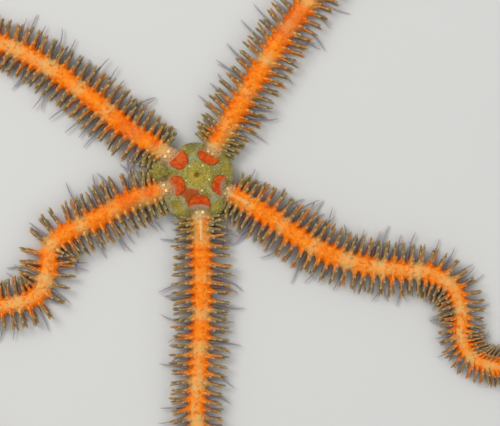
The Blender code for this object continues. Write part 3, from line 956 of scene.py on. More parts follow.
@dataclass
class Disc:
    """The lobed disc, with the mouth frame under it."""

    # Angle in degrees and radius in mm of each lobe's rim
    lobes: Sequence[Place] = ((12, 6.6), (100, 5.9), (175, 8.3), (240, 8.3), (301, 8.0))
    # Angle and radius where each arm leaves
    notches: Sequence[Place] = ((58.5, 5.4), (145, 6.0), (202, 6.1), (273.5, 6.4), (330.5, 5.9))
    top: float = 4.3  # height of the middle, in mm
    rim: float = 2.3  # height of the widest line, in mm
    belly: float = 0.5  # height of a lobe's underside, in mm
    belly_power: float = 0.45  # how flat the underside is, where 1 is an ellipse's
    frame_radius: float = 3.4  # radius of the flat frame about the mouth, in mm
    slit_reach: Place = (0.5, 2.8)  # where the slits of the mouth start and end, in mm from its middle
    slit_depth: float = 0.8  # how deep they are, in mm
    groove_depth: float = 0.10  # how deep the grooves round the shields are, in mm
    notch_height: float = 2.05  # how high the disc stands in the notches over the arms, in mm
    pit_depth: float = 0.28  # how deep the pit in its middle is, in mm
    pit_radius: float = 0.5
    # The unevenness of its upper side, as the depth in mm, the swells in a mm and the seed of each
    # layer
    swells: Sequence[Spot] = ((0.10, 0.8, 3.0), (0.04, 3.1, 9.0))
    around: int = 208
    rows_above: int = 68
    rows_below: int = 32

    def rim_radius(self, angle: Number) -> np.ndarray:
        """The disc's radius, which rises from each notch to the lobe beside it.

        Args:
            angle: Angles in radians.

        Returns:
            The radius in mm at each.
        """
        knots = sorted([(a, r, 0) for a, r in self.notches] + [(a, r, 1) for a, r in self.lobes])
        knots = [(knots[-1][0] - 360, *knots[-1][1:]), *knots, (knots[0][0] + 360, *knots[0][1:])]
        turned = np.degrees(angle) % 360
        found = np.zeros_like(turned)
        for (start, first, is_lobe), (end, second, _) in zip(knots, knots[1:]):
            share = np.clip((turned - start) / (end - start), 0, 1)
            rising = 1 - np.sin(np.pi / 2 * (1 - share)) if is_lobe else np.sin(np.pi / 2 * share)
            inside = (turned >= start) & (turned <= end)
            found = np.where(inside, first + (second - first) * rising, found)
        return found

    def dome(self, x: Number, y: Number) -> np.ndarray:
        """The height in mm of the plain upper side, over places in mm."""
        share = np.clip(np.hypot(x, y) / self.rim_radius(np.arctan2(y, x)), 0, 1)
        return self.rim + (self.top - self.rim) * np.sqrt(1 - share**2)

    def surface(self, arms: Sequence["Arm"], shields: Sequence["Shield"]) -> Mesh:
        """The disc's skin, with grooves round the shields and slits round the mouth.

        Args:
            arms: The arms, towards which the slits of the mouth run.
            shields: The shields, which are let into the upper side.

        Returns:
            The closed mesh.
        """
        above = np.linspace(0.006, 0.5, self.rows_above)
        below = np.linspace(0.5, 0.992, self.rows_below)[1:]
        tilt = np.pi * np.concatenate([above, below])[:, None]
        angle = np.linspace(0, 2 * np.pi, self.around + 1)[None, :]
        radius = self.rim_radius(angle) * np.sin(tilt)
        x, y = radius * np.cos(angle), radius * np.sin(angle)
        over = np.broadcast_to(tilt <= np.pi / 2, radius.shape)
        upper = self.rim + (self.top - self.rim) * np.cos(tilt)
        lower = self.rim - (self.rim - self.belly) * np.abs(np.cos(tilt)) ** self.belly_power
        groove = np.where(over, np.max([shield.outline(x, y) for shield in shields], axis=0), 0)
        cuff = np.where(over, np.max([shield.collar(x, y) for shield in shields], axis=0), 0)
        height = np.where(over, upper, lower)
        height = height + np.where(over, self.lumps(x, y), 0) - self.groove_depth * groove
        for shield in shields:
            opened = np.where(over, shield.opening(x, y), 0)
            height = height + (np.minimum(height, self.notch_height) - height) * opened
        height = height - np.where(over, self.pit_depth * hump(np.hypot(x, y), 0.0, self.pit_radius), 0)
        height = np.where(over, height, self.mouth(x, y, height, arms))
        rings = np.stack([x, y, np.maximum(height, FLOOR_GAP)], -1)[:, :-1] * MM
        plain = np.zeros_like(radius)
        maps = {"disc": plain + 1, "groove": groove, "pale": plain, "cuff": cuff, "tan": plain}
        maps["lift"] = np.where(over, 1.0, -1.0)
        return Loft(rings, maps, Strip.DISC.chart(angle / (2 * np.pi), tilt / np.pi)).mesh("disc")

    def lumps(self, x: np.ndarray, y: np.ndarray) -> np.ndarray:
        """The soft unevenness of the upper side.

        Args:
            x, y: Places in mm.

        Returns:
            The height that it adds at each, in mm.
        """
        found = np.zeros(x.size)
        for depth, scale, seed in self.swells:
            places = [Vector((px * scale, py * scale, seed)) for px, py in zip(x.flat, y.flat)]
            found += depth * np.array([noise.noise(place) for place in places])
        return found.reshape(x.shape)

    def mouth(self, x: np.ndarray, y: np.ndarray, height: np.ndarray, arms: Sequence["Arm"]) -> np.ndarray:
        """The underside: a flat frame about the mouth, cut by five slits.

        Args:
            x, y: Places in mm.
            height: The height of the plain belly.
            arms: The arms that the slits run to.

        Returns:
            The height with the frame and the slits.
        """
        flat = smooth(self.frame_radius + 0.5, self.frame_radius - 0.1, np.hypot(x, y))
        made = height + (FLOOR_GAP - height) * flat
        near, far = self.slit_reach
        for arm in arms:
            towards = arm.path.place(far)
            along = (x * towards[0] + y * towards[1]) / np.hypot(*towards)
            aside = (x * towards[1] - y * towards[0]) / np.hypot(*towards)
            span = smooth(near - 0.3, near + 0.2, along) * smooth(far + 0.3, far - 0.3, along)
            made = made + self.slit_depth * span * hump(aside, 0.0, 0.24)
        return made


@dataclass(frozen=True)
class ShieldPlan:
    """Where one pair of shields lies and how large it is."""

    bearing: float  # the direction of the middle of its outer edge from the disc's, in degrees
    reach: float  # the distance of that middle from the disc's, in mm
    half_across: float  # half the pair's length across the arm, in mm
    depth: float  # how far in it reaches from there, in mm
    turn: float  # how far it is turned about that middle, in degrees
    bite: float  # how far its outer edge is hollowed where the arm leaves, in mm
    fade: float  # how grey it is along that edge, where 1 is wholly so


@dataclass
class Shield:
    """The pair of bare plates over the root of one arm."""

    arm: "Arm"
    disc: Disc
    plan: ShieldPlan  # where they lie and how large they are
    thick: float = 0.26  # how thick they are, in mm
    proud: float = 0.06  # how high their middle plane lies over the disc, in mm
    rounding: float = 0.25  # how far their outer edge stands out at its ends, in mm
    corner: float = 2.5  # how square their corners are, where 2 is an ellipse's
    behind: float = 3.0  # how far the notch outside them reaches back under them, in mm
    rows: int = 30
    around: int = 96

    def frame(self) -> tuple[np.ndarray, np.ndarray, np.ndarray]:
        """The axes of the pair.

        Returns:
            The middle of its outer edge in mm, and its directions out and across.
        """
        bearing = math.radians(self.plan.bearing)
        middle = self.plan.reach * np.array([math.cos(bearing), math.sin(bearing)])
        angle = bearing + math.radians(self.plan.turn)
        out = np.array([math.cos(angle), math.sin(angle)])
        return middle, out, np.array([-out[1], out[0]])

    def edges(self, aside: np.ndarray) -> tuple[np.ndarray, np.ndarray]:
        """How far out the edges lie.

        Args:
            aside: Shares of the way from the middle to an end.

        Returns:
            How far out the inner and the outer edge lie there, in mm.
        """
        full = np.clip(1 - np.abs(aside) ** self.corner, 0.0, 1.0) ** (1 / self.corner)
        hollow = self.plan.bite * np.clip(1 - aside**2, 0.0, 1.0)
        return -self.plan.depth * full, self.rounding * full - hollow

    def place(self, x: np.ndarray, y: np.ndarray) -> tuple[np.ndarray, np.ndarray]:
        """Where places lie in the pair's own axes.

        Args:
            x, y: Places in mm.

        Returns:
            How far out and how far across they are, in mm.
        """
        middle, *ways = self.frame()
        along, aside = ((x - middle[0]) * way[0] + (y - middle[1]) * way[1] for way in ways)
        return along, aside

    def share(self, x: np.ndarray, y: np.ndarray) -> np.ndarray:
        """How far from the pair's middle places are.

        Args:
            x, y: Places in mm.

        Returns:
            Numbers that are 0 in its middle and 1 on its edge.
        """
        along, aside = self.place(x, y)
        aside = aside / self.plan.half_across
        inner, outer = self.edges(np.clip(aside, -0.97, 0.97))
        round_share = np.sqrt(np.clip(1 - aside**2, 0.06, 1.0))
        middle, half = (inner + outer) / 2, (outer - inner) / 2
        return np.hypot((along - middle) / half * round_share, aside)

    def outline(self, x: np.ndarray, y: np.ndarray) -> np.ndarray:
        """The groove round the plates, from 0 to 1, which fades away from their inner edge."""
        away = (self.share(x, y) - 1.0) * self.plan.depth
        return hump(away, 0.02, 0.11) * smooth(0.2, -0.8, self.place(x, y)[0])

    def notch(self, x: np.ndarray, y: np.ndarray) -> tuple[np.ndarray, np.ndarray]:
        """Where places lie in the notch outside the plates.

        Args:
            x, y: Places in mm.

        Returns:
            How far they lie from the arm's middle line and beyond the plates, in mm.
        """
        start = self.arm.plan.root - 1.0
        spot, heading = self.arm.path.place(start), self.arm.path.heading(start)
        aside = np.abs((x - spot[0]) * -heading[1] + (y - spot[1]) * heading[0])
        ahead = (x - spot[0]) * heading[0] + (y - spot[1]) * heading[1]
        along, across = self.place(x, y)
        outer = self.edges(np.clip(across / self.plan.half_across, -1, 1))[1]
        return aside, np.where(ahead > -self.behind, along - outer, -1.0)

    def opening(self, x: np.ndarray, y: np.ndarray) -> np.ndarray:
        """Where the disc is notched outside the plates, so that the arm shows: 1 in the notch."""
        aside, beyond = self.notch(x, y)
        return smooth(2.1, 1.2, aside) * smooth(-0.05, 0.5, beyond)

    def collar(self, x: np.ndarray, y: np.ndarray) -> np.ndarray:
        """Where the skin outside the plates is pale: 1 on the pale skin."""
        aside, beyond = self.notch(x, y)
        return smooth(1.9, 1.1, aside) * smooth(-0.15, 0.05, beyond)

    def plate(self) -> Mesh:
        """The pair of plates, domed and let into the disc.

        Returns:
            The closed mesh.
        """
        middle, out, across = self.frame()
        tilt = np.linspace(0.02, 0.98, self.rows)[:, None] * np.pi
        angle = np.linspace(0, 2 * np.pi, self.around + 1)[None, :]
        aside = np.sin(tilt) * np.sin(angle)
        rise = squarer(np.cos(tilt), 0.4)
        inner, outer = self.edges(aside)
        round_share = np.sqrt(np.clip(1 - aside**2, 1e-6, 1.0))
        towards = np.sin(tilt) * np.cos(angle) / round_share
        along = (inner + outer) / 2 + towards * (outer - inner) / 2
        aside = aside * self.plan.half_across
        x, y = (middle[i] + along * out[i] + aside * across[i] for i in (0, 1))
        lift = self.disc.dome(x, y) + self.proud + self.thick * np.where(rise > 0, 0.8, 1.4) * rise
        rings = np.stack([x, y, lift], -1)[:, :-1] * MM
        grey = self.plan.fade * round_share * smooth(1.0, 0.0, outer - along)
        turned = np.arctan2(y, x) % math.tau / math.tau
        chart = Strip.PLATES.chart(turned, np.clip(np.hypot(x, y) / 16 + 0.25 * (rise < 0), 0, 1))
        return Loft(rings[::-1], {"outer": grey[::-1]}, chart[::-1]).mesh("shield")


# The arms


@dataclass
class Path:
    """The line that an arm follows on the floor, in mm, from the middle of the mouth."""

    points: Sequence[Place]  # the places that it runs through
    steps: int = 24  # how many steps it takes from each of them to the next
    reach: float = 0.6  # how far before and after a place its heading is measured, in mm

    def __post_init__(self) -> None:
        """Draws a smooth curve through the points and measures it."""
        knots = [np.array(p, float) for p in self.points]
        knots = [2 * knots[0] - knots[1], *knots, 2 * knots[-1] - knots[-2]]
        places = []
        for before, start, end, after in zip(knots, knots[1:], knots[2:], knots[3:]):
            bend = 2 * before - 5 * start + 4 * end - after
            twist = 3 * start - before - 3 * end + after
            for u in np.arange(self.steps) / self.steps:
                places.append(0.5 * (2 * start + (end - before) * u + bend * u**2 + twist * u**3))
        self.places = np.array([*places, knots[-2]])
        self.marks = np.concatenate([[0], np.cumsum(np.hypot(*np.diff(self.places, axis=0).T))])
        self.length = float(self.marks[-1])

    def place(self, along: Number) -> np.ndarray:
        """The places at distances along the path."""
        return np.stack([np.interp(along, self.marks, self.places[:, i]) for i in (0, 1)], -1)

    def heading(self, along: Number) -> np.ndarray:
        """The direction of the path.

        Args:
            along: Distances in mm along it.

        Returns:
            The x and y of the direction at each.
        """
        along = np.clip(along, self.reach, self.length - self.reach)
        way = self.place(along + self.reach) - self.place(along - self.reach)
        return way / np.hypot(way[..., 0], way[..., 1])[..., None]


class Side(Enum):
    """The sides of an arm, seen from the disc."""

    LEFT = 1
    RIGHT = -1

    def angle(self, climb: float) -> float:
        """The angle round the section, from the left side over the back, of a climb in degrees."""
        return math.radians(climb) if self is Side.LEFT else math.pi - math.radians(climb)


@dataclass(frozen=True)
class ArmPlan:
    """How one arm differs from the others."""

    root: float  # where its first spines grow, in mm along its path
    cuff: float  # where its orange starts, outside a pale cuff at the disc's edge, in mm
    first_band: float  # where its first pale band lies, in mm
    tan_reach: Place  # how far from its root its left and right flanks are tan, in mm
    stripe: float  # how clear the pale line on the back of its root is, from 0 to 1
    bleach: float  # how pale the rest of its root is, from 0 to 1
    lean: float  # how far its spines lean towards its tip, in degrees


@dataclass(frozen=True)
class Relief:
    """How far the parts of an arm's skin stand out or lie in, as shares of its half width."""

    shoulder: float = 0.80  # the tooth on each joint's flank that carries its row of spines
    tile: float = 0.05  # the outer edges of the plates along the back
    keel: float = 0.05  # the middle line of the back
    under: float = 0.04  # the plates of the underside
    edge: float = 0.03  # the grooves between back, flanks and underside
    back_seam: float = 0.03  # the grooves between the plates of the back
    side_seam: float = 0.05  # the grooves between the joints on the rest
    tan: float = 0.03  # the tan flanks near the root, for each mm of their reach
    lumps: float = 0.12  # the unevenness all over


@dataclass
class Arm:
    """One arm: its path and the sizes of its joints."""

    name: str  # the name that its nodes and pieces start with
    path: Path
    plan: ArmPlan
    strip: Strip
    seed: int
    relief: Relief = Relief()  # how far its plates and grooves stand out
    start: float = 2.0  # where its skin starts inside the disc, in mm along its path
    half_width: float = 1.55  # its half width at the root, in mm
    tip_half_width: float = 0.36  # its half width at the tip, in mm
    taper: float = 2.2  # how late it narrows, where 1 is evenly from the root
    pitch: float = 1.64  # the length of a full joint, in mm
    tip_pitch_share: float = 0.46  # the share of it that a joint at the tip has
    root_pitch_share: float = 0.58  # the share of it that a joint at the root has
    crowded: float = 4.0  # how far from the root the joints are short, in mm
    band_every: float = 4.05  # how many joints lie from one pale band to the next
    around: int = 28
    middle_height: float = 0.78  # how high its middle lies, as a share of its half width
    back_height: float = 0.82  # how high its back stands over its middle, as the same share
    back_corner: float = 2.3  # how square its back is, where 2 is an ellipse's
    belly_corner: float = 2.9  # how square its underside is
    # Where the rings of a joint lie, as shares of its length
    phases: Sequence[float] = (0.02, 0.22, 0.40, 0.57, 0.74, 0.91)

    def __post_init__(self) -> None:
        """Divides the arm into joints, from inside the disc to the tip."""
        joints = [self.start]
        while joints[-1] < self.path.length:
            along = joints[-1]
            outside = along - self.plan.root
            spread = smooth(-0.5, self.crowded, outside) if outside > -1.5 else 1.0
            crowding = self.root_pitch_share + (1 - self.root_pitch_share) * spread
            shrinking = 1 - (1 - self.tip_pitch_share) * smooth(0.33, 0.75, self.share(along))
            joints.append(float(along + self.pitch * crowding * shrinking))
        self.joints = np.array(joints)

    def share(self, along: Number) -> Number:
        """The share of the way from root to tip."""
        return np.clip((along - self.plan.root) / (self.path.length - self.plan.root), 0, 1)

    def width(self, along: Number) -> Number:
        """The half width in mm of the plain arm."""
        fade = 1 - self.share(along) ** self.taper
        return self.tip_half_width + (self.half_width - self.tip_half_width) * fade

    def count(self, along: Number) -> Number:
        """How many joints lie before a place, with its share of the next."""
        return np.interp(along, self.joints, np.arange(len(self.joints)))

    def places(self, share: float) -> list[float]:
        """The distance along the arm, in mm, of the same share of every joint."""
        return [near + share * (far - near) for near, far in zip(self.joints, self.joints[1:])]

    def ways(self, along: float, side: Side = Side.LEFT) -> tuple[np.ndarray, np.ndarray]:
        """The directions at a place along the arm: towards its tip and out to one side."""
        heading = self.path.heading(along)
        return heading, np.array([-heading[1], heading[0]]) * side.value

    def banding(self, along: Number) -> Number:
        """How strong the pale bands are, of which the first two are weaker.

        Args:
            along: Distances in mm along the arm.

        Returns:
            Numbers from 0 to 1.
        """
        band = (self.count(along) - self.count(self.plan.first_band)) / self.band_every
        nearest = np.round(band)
        shift = 0.05 * np.sin(7.3 * nearest + self.seed)
        strength = np.where(nearest < 0, 0.0, np.where(nearest < 2, 0.5, 0.85))
        strength = strength * (1 + 0.15 * np.sin(3.1 * nearest + 2.0 * self.seed))
        return hump((band - nearest - shift) * self.band_every, 0.0, 0.75) * strength

    def paleness(self, along: Number, lift: Number) -> Number:
        """How pale the arm is, in bands that are strongest along its back.

        Args:
            along: Distances in mm along the arm.
            lift: The height on the section, from -1 below to 1 on the back.

        Returns:
            Numbers from 0 to 1, and more than that on the pale line.
        """
        root = smooth(self.plan.cuff + 3.2, self.plan.cuff, along)
        near_root = smooth(self.plan.root + 5.5, self.plan.root + 3.0, along)
        stripe = hump(lift, 1.0, 0.012) * near_root * self.plan.stripe
        paler = self.plan.bleach * root + 0.38 * hump(lift, 1.0, 0.25) * smooth(24, 38, along)
        bands = self.banding(along) * (1.0 - 0.3 * np.clip(lift, 0, 1))
        return np.clip(bands + 1.5 * stripe + paler, 0, 1.4)

    def flank(self, angle: Number) -> np.ndarray:
        """How far from the root the flank at each angle round the section is tan, in mm."""
        return np.where(np.cos(angle) > 0, *self.plan.tan_reach)

    def tan(self, along: Number, angle: Number) -> Number:
        """How tan the flanks are, which they are near the root and at the pale bands.

        Args:
            along: Distances in mm along the arm.
            angle: Angles round the section, from the left side over the back.

        Returns:
            Numbers from 0 to 1.
        """
        reach, lift = self.flank(angle), np.sin(angle)
        end = self.plan.cuff + reach
        near_root = smooth(end + 0.3, end - 0.45 * reach, along)
        near_root = near_root * np.maximum(0.5 * self.plan.bleach, smooth(0.98, 0.85, lift))
        return np.maximum(near_root, 0.9 * self.banding(along) * smooth(0.95, 0.75, lift))

    def section(self, along: Number, angle: Number) -> tuple[Number, Number, Number]:
        """The arm's outline across, with its plates in relief.

        Args:
            along: Distances in mm along the arm.
            angle: Angles round the section, from the left side over the back.

        Returns:
            How far across and how high each point is, in mm, and how deep it lies in a
            groove, from 0 to 1.
        """
        relief = self.relief
        width = self.width(along) * (0.5 + 0.5 * smooth(3.0, 5.4, along))
        phase = self.count(along) % 1.0
        lift = np.degrees(np.arcsin(np.clip(np.sin(angle), -1, 1)))
        over = np.sin(angle) >= 0
        power = 2.0 / np.where(over, self.back_corner, self.belly_corner)
        across, up = squarer(np.cos(angle), power), squarer(np.sin(angle), power)

        # The back, with a plate on each joint whose outer edge is bowed
        aside = np.clip((90 - lift) / 54, 0, 1)
        back = smooth(32, 42, lift)
        slid = (phase - 0.2 * (1 - aside**2) + 0.2) % 1.0
        tile = slid * smooth(1.0, 0.93, slid)
        keel = relief.keel * hump(aside, 0.0, 0.3) * back

        # The flanks, with a tooth on each joint from the root on, and the underside
        nearest = np.abs((phase - CREST + 0.5) % 1.0 - 0.5)
        side = hump(lift, 4, 25) * np.clip(1 - nearest / 0.46, 0, 1)
        side = side * smooth(self.plan.root - 0.6, self.plan.root - 0.1, along)
        under = smooth(-38, -60, lift) * (0.4 + 0.6 * smooth(0.0, 0.2, phase) * smooth(1.0, 0.85, phase))
        edge = 0.7 * hump(lift, 37, 6) + 0.8 * hump(lift, -40, 8)

        swell = relief.tile * tile * back + keel + relief.shoulder * side + relief.under * under
        swell = swell - relief.edge * edge - relief.back_seam * back * hump(slid, 1.0, 0.05)
        swell = swell - relief.side_seam * (1 - back) * hump(phase, 0.02, 0.06)
        flank = self.flank(angle)
        spread = smooth(self.plan.cuff + flank, self.plan.cuff + 0.5 * flank, along)
        swell = swell + self.lumps(along, angle) + relief.tan * flank * hump(lift, 5, 35) * spread
        scale = width * (1 + swell)
        tallness = np.where(over, self.back_height, self.middle_height)
        height = width * self.middle_height + scale * up * tallness
        groove = edge * 0.5 + 0.8 * back * hump(slid, 0.98, 0.06) + 0.4 * hump(phase, 0.0, 0.08)
        lowest = FLOOR_GAP + 0.3 * smooth(4.4, 3.0, along)
        return scale * across, np.maximum(height, lowest), np.clip(groove, 0, 1)

    def lumps(self, along: Number, angle: Number) -> np.ndarray:
        """The unevenness of the arm's skin.

        Args:
            along: Distances in mm along the arm.
            angle: Angles round the section.

        Returns:
            How far it stands out at each place, as a share of the arm's half width.
        """
        places = np.stack(np.broadcast_arrays(along * 1.5, 2.4 * np.cos(angle), 2.4 * np.sin(angle)), -1)
        places[..., 2] += 10.0 * self.seed
        flat = [noise.noise(Vector(place)) for place in places.reshape(-1, 3)]
        return self.relief.lumps * np.array(flat).reshape(places.shape[:-1])

    def surface(self) -> Mesh:
        """The arm's skin, from inside the disc to a blunt tip.

        Returns:
            The closed mesh.
        """
        along = (self.joints[:-1, None] + np.diff(self.joints)[:, None] * np.array(self.phases)).ravel()
        along = np.append(along[along < self.path.length - 0.15], self.path.length)[:, None]
        angle = np.linspace(0, 2 * np.pi, self.around + 1)[None, :]
        along, angle = along + 0 * angle, angle + 0 * along
        across, height, groove = self.section(along, angle)
        end = smooth(self.path.length, self.path.length - 0.5, along)
        across, height = across * (0.35 + 0.65 * end), height * (0.5 + 0.5 * end)
        place, heading = self.path.place(along[:, 0]), self.path.heading(along[:, 0])
        x = place[:, :1] - heading[:, 1:] * across
        y = place[:, 1:] + heading[:, :1] * across
        rings = np.stack([x, y, height], -1)[:, :-1] * MM
        lift = np.sin(angle)
        maps = {
            "disc": 0 * lift,
            "groove": groove,
            "pale": self.paleness(along, lift),
            "lift": lift,
            "cuff": smooth(self.plan.cuff + 0.7, self.plan.cuff - 0.5, along) * smooth(-0.2, 0.2, lift),
            "tan": self.tan(along, angle),
        }
        chart = self.strip.chart(along / self.path.length, angle / (2 * np.pi))
        return Loft(rings, maps, chart).mesh(self.name)

    def foot(self, along: float, angle: float, depth: float) -> tuple[Vector, Spot]:
        """A place under the skin where something is rooted.

        Args:
            along: Its distance in mm along the arm.
            angle: Its angle round the section.
            depth: How far in it lies, as a share of the way to the arm's middle.

        Returns:
            The place in metres, and its place on the bake map.
        """
        across, height, _ = self.section(along, angle)
        centre = self.width(along) * self.middle_height
        aside, up = across * (1 - depth), centre + (height - centre) * (1 - depth)
        place, heading = self.path.place(along), self.path.heading(along)
        where = Vector((place[0] - heading[1] * aside, place[1] + heading[0] * aside, up)) * MM
        return where, self.strip.home(along / self.path.length, angle % math.tau / math.tau)


@dataclass
class SpineForms:
    """A few thorny spines, a unit long and a unit in radius, that every spine is picked from."""

    count: int = 8
    sides: int = 6
    whorls: int = 4
    thorn: Place = (0.15, 0.5)  # the least and the greatest size of a thorn
    thorns: float = 0.6  # the share of a whorl's points that have one
    flatness: float = 0.82  # how thick a shaft is, as a share of its width
    seed: int = 21

    def collection(self) -> Collection:
        """Makes the forms.

        Returns:
            A collection of them that isn't part of the scene.
        """
        made = bpy.data.collections.new("spine forms")
        for number in range(self.count):
            made.objects.link(self.form(number))
        return made

    def form(self, number: int) -> Object:
        """One thorny spine along +Z, blunt at its tip.

        Each whorl is a ring where some points stand out as thorns, with a ring close
        behind it where the shaft is plain again.

        Args:
            number: Which of the forms it is.

        Returns:
            The form as an object.
        """
        chance = random.Random(self.seed * 100 + number)
        bend = 0.5 * chance.uniform(0.3, 1.0)
        shares = [0.0]
        for whorl in range(self.whorls):
            crest = 0.26 + 0.58 * (whorl + chance.uniform(-0.25, 0.25)) / (self.whorls - 1)
            shares += [crest, crest + 0.05]
        shares += [0.95, 0.99]
        rings: list[Spot] = []
        for ring, share in enumerate(shares):
            is_crest = ring % 2 == 1 and ring < len(shares) - 2
            for side in range(self.sides):
                angle = math.tau * (side + 0.5 * (ring // 2)) / self.sides
                thorn = chance.uniform(*self.thorn) if is_crest and chance.random() < self.thorns else 0.0
                width = self.girth(share) + 0.8 * thorn
                x, y = width * math.cos(angle) + bend * share**2, self.flatness * width * math.sin(angle)
                rings.append((x, y, share + 0.03 * (thorn > 0)))
        points = [*rings, (0.0, 0.0, -0.01), (bend, 0.0, 1.0)]
        sides = [(side, (side + 1) % self.sides) for side in range(self.sides)]
        *lower, top = range(0, len(rings), self.sides)
        faces: list[tuple[int, ...]] = []
        for low in lower:
            high = low + self.sides
            faces += [(low + side, low + after, high + after, high + side) for side, after in sides]
        for side, after in sides:
            faces += [(after, side, len(rings)), (top + side, top + after, len(rings) + 1)]
        mesh = bpy.data.meshes.new("spine form")
        mesh.from_pydata(points, [], faces)
        reach = np.clip([z for _, _, z in points], 0, 1)
        store(mesh, "reach", reach)
        store(mesh, "patch", [(0.5 + 0.3 * x, share, 0.0) for (x, _, _), share in zip(points, reach)])
        mesh.shade_smooth()
        return bpy.data.objects.new("spine form", mesh)

    @staticmethod
    def girth(share: float) -> float:
        """The shaft's radius: stout at the root, a little fuller before a rounded tip."""
        body = 1.2 - 0.5 * share**0.8 + 0.05 * math.exp(-(((share - 0.84) / 0.14) ** 2))
        return body * (1 - (max(0.0, share - 0.88) / 0.12) ** 2) ** 0.5


@dataclass
class SpineCoat:
    """The spines along one side of an arm, in a row on the shoulder of each joint."""

    arm: Arm
    side: Side
    length: float = 3.2  # the length in mm of the longest spine, from the skin
    tip_share: float = 0.34  # the share of it that is left at the arm's tip
    fade_power: float = 1.8  # how late the spines grow shorter, where 1 is evenly from the root
    root_share: float = 0.62  # the share of it that the first row has
    root_ramp: float = 7.0  # how far out the rows reach their full length, in mm
    radius: float = 0.31  # the radius in mm of the stoutest
    # How steeply each spine of a row stands, in degrees, from the lowest up
    rises: Sequence[float] = (-4.0, 4.0, 13.0, 23.0, 35.0, 50.0)
    shares: Sequence[float] = (0.80, 0.97, 1.06, 1.02, 0.90, 0.68)  # how long each of them is
    # The spines that a row has, up to each share of the way to the tip
    rows: Sequence[tuple[float, Sequence[int]]] = (
        (0.6, (0, 1, 2, 3, 4, 5)),
        (0.85, (0, 1, 2, 3, 5)),
        (math.inf, (0, 2, 3, 5)),
    )
    lowest: float = -24.0  # how far down the flank a row starts, in degrees
    climb: float = 56.0  # how far up it goes from there, in degrees
    tip_lean: float = 26.0  # how much farther the spines lean at the arm's tip, in degrees
    fan: Place = (1.0, 7.5)  # the least and the greatest spread of a row to both sides, in degrees
    root_fan: float = 7.0  # how much wider the first row is spread, in degrees
    stray: float = 3.5  # how far a row and each spine stray, in degrees
    sunk: float = 0.35  # how far in a spine is rooted, as a share of the way to the arm's middle

    def sprigs(self) -> list[Sprig]:
        """Places all the spines on this side.

        Returns:
            The spines, row by row from the root.
        """
        chance = random.Random(self.arm.seed * 10 + self.side.value)
        found: list[Sprig] = []
        for along in self.arm.places(CREST):
            if along < self.arm.plan.root - 0.2 or along > self.arm.path.length - 0.7:
                continue
            share = float(self.arm.share(along))
            levels = next(levels for until, levels in self.rows if share < until)
            row = (chance.uniform(-1, 1) * self.stray, chance.uniform(*self.fan))
            found += [self.spine(along, share, level, row, chance) for level in levels]
        return found

    def spine(self, along: float, share: float, level: int, row: Place, chance: random.Random) -> Sprig:
        """One spine of a row, which never reaches below the floor.

        Args:
            along: The row's distance along the arm.
            share: The row's share of the way to the arm's tip.
            level: Its place in the row, from the lowest up.
            row: How far the whole row is turned towards the tip, and how far its spines are
                spread to both sides, in degrees.
            chance: The source of its small differences.

        Returns:
            The spine.
        """
        rank = level / (len(self.rises) - 1)
        angle = self.side.angle(self.lowest + self.climb * rank)
        root, home = self.arm.foot(along, angle, self.sunk)
        fade = 1 - share**self.fade_power
        ramp = min(1.0, (along - self.arm.plan.root + 0.5) / self.root_ramp)
        length = self.length * (self.tip_share + (1 - self.tip_share) * fade)
        length *= self.root_share + (1 - self.root_share) * ramp
        length *= self.shares[level] * chance.uniform(0.86, 1.12)
        width = float(self.arm.width(along))
        length += self.sunk * width
        radius = min(self.radius * (1 - 0.45 * share), 0.36 * width) * chance.uniform(0.85, 1.15)
        root.z = max(root.z, 1.8 * radius * MM)
        clear = 0.1 + 2.0 * radius
        rise = math.radians(self.rises[level] + chance.uniform(-1, 1) * self.stray)
        rise = max(rise, math.asin(max(-1.0, min(1.0, (clear - root.z / MM) / length))))
        lean = self.arm.plan.lean + self.tip_lean * smooth(0.35, 0.95, share)
        fan = (row[1] + self.root_fan * (1 - ramp)) * (1 if level % 2 else -1)
        turn = math.radians(lean + row[0] + fan + chance.uniform(-1, 1) * self.stray)
        heading, across = self.arm.ways(along, self.side)
        way = across * math.cos(turn) + heading * math.sin(turn)
        facing = Vector((way[0] * math.cos(rise), way[1] * math.cos(rise), math.sin(rise)))
        flank = float(self.arm.tan(along, angle))
        pale = max(0.9 * flank, min(1.0, 1.3 * float(self.arm.paleness(along, 0.4))))
        warm = max(0.0, rank * 1.5 - 0.5) - 0.6 * flank
        size = (radius * MM, radius * MM, length * MM)
        return Sprig(root, facing, size, home, chance.random(), pale, warm)


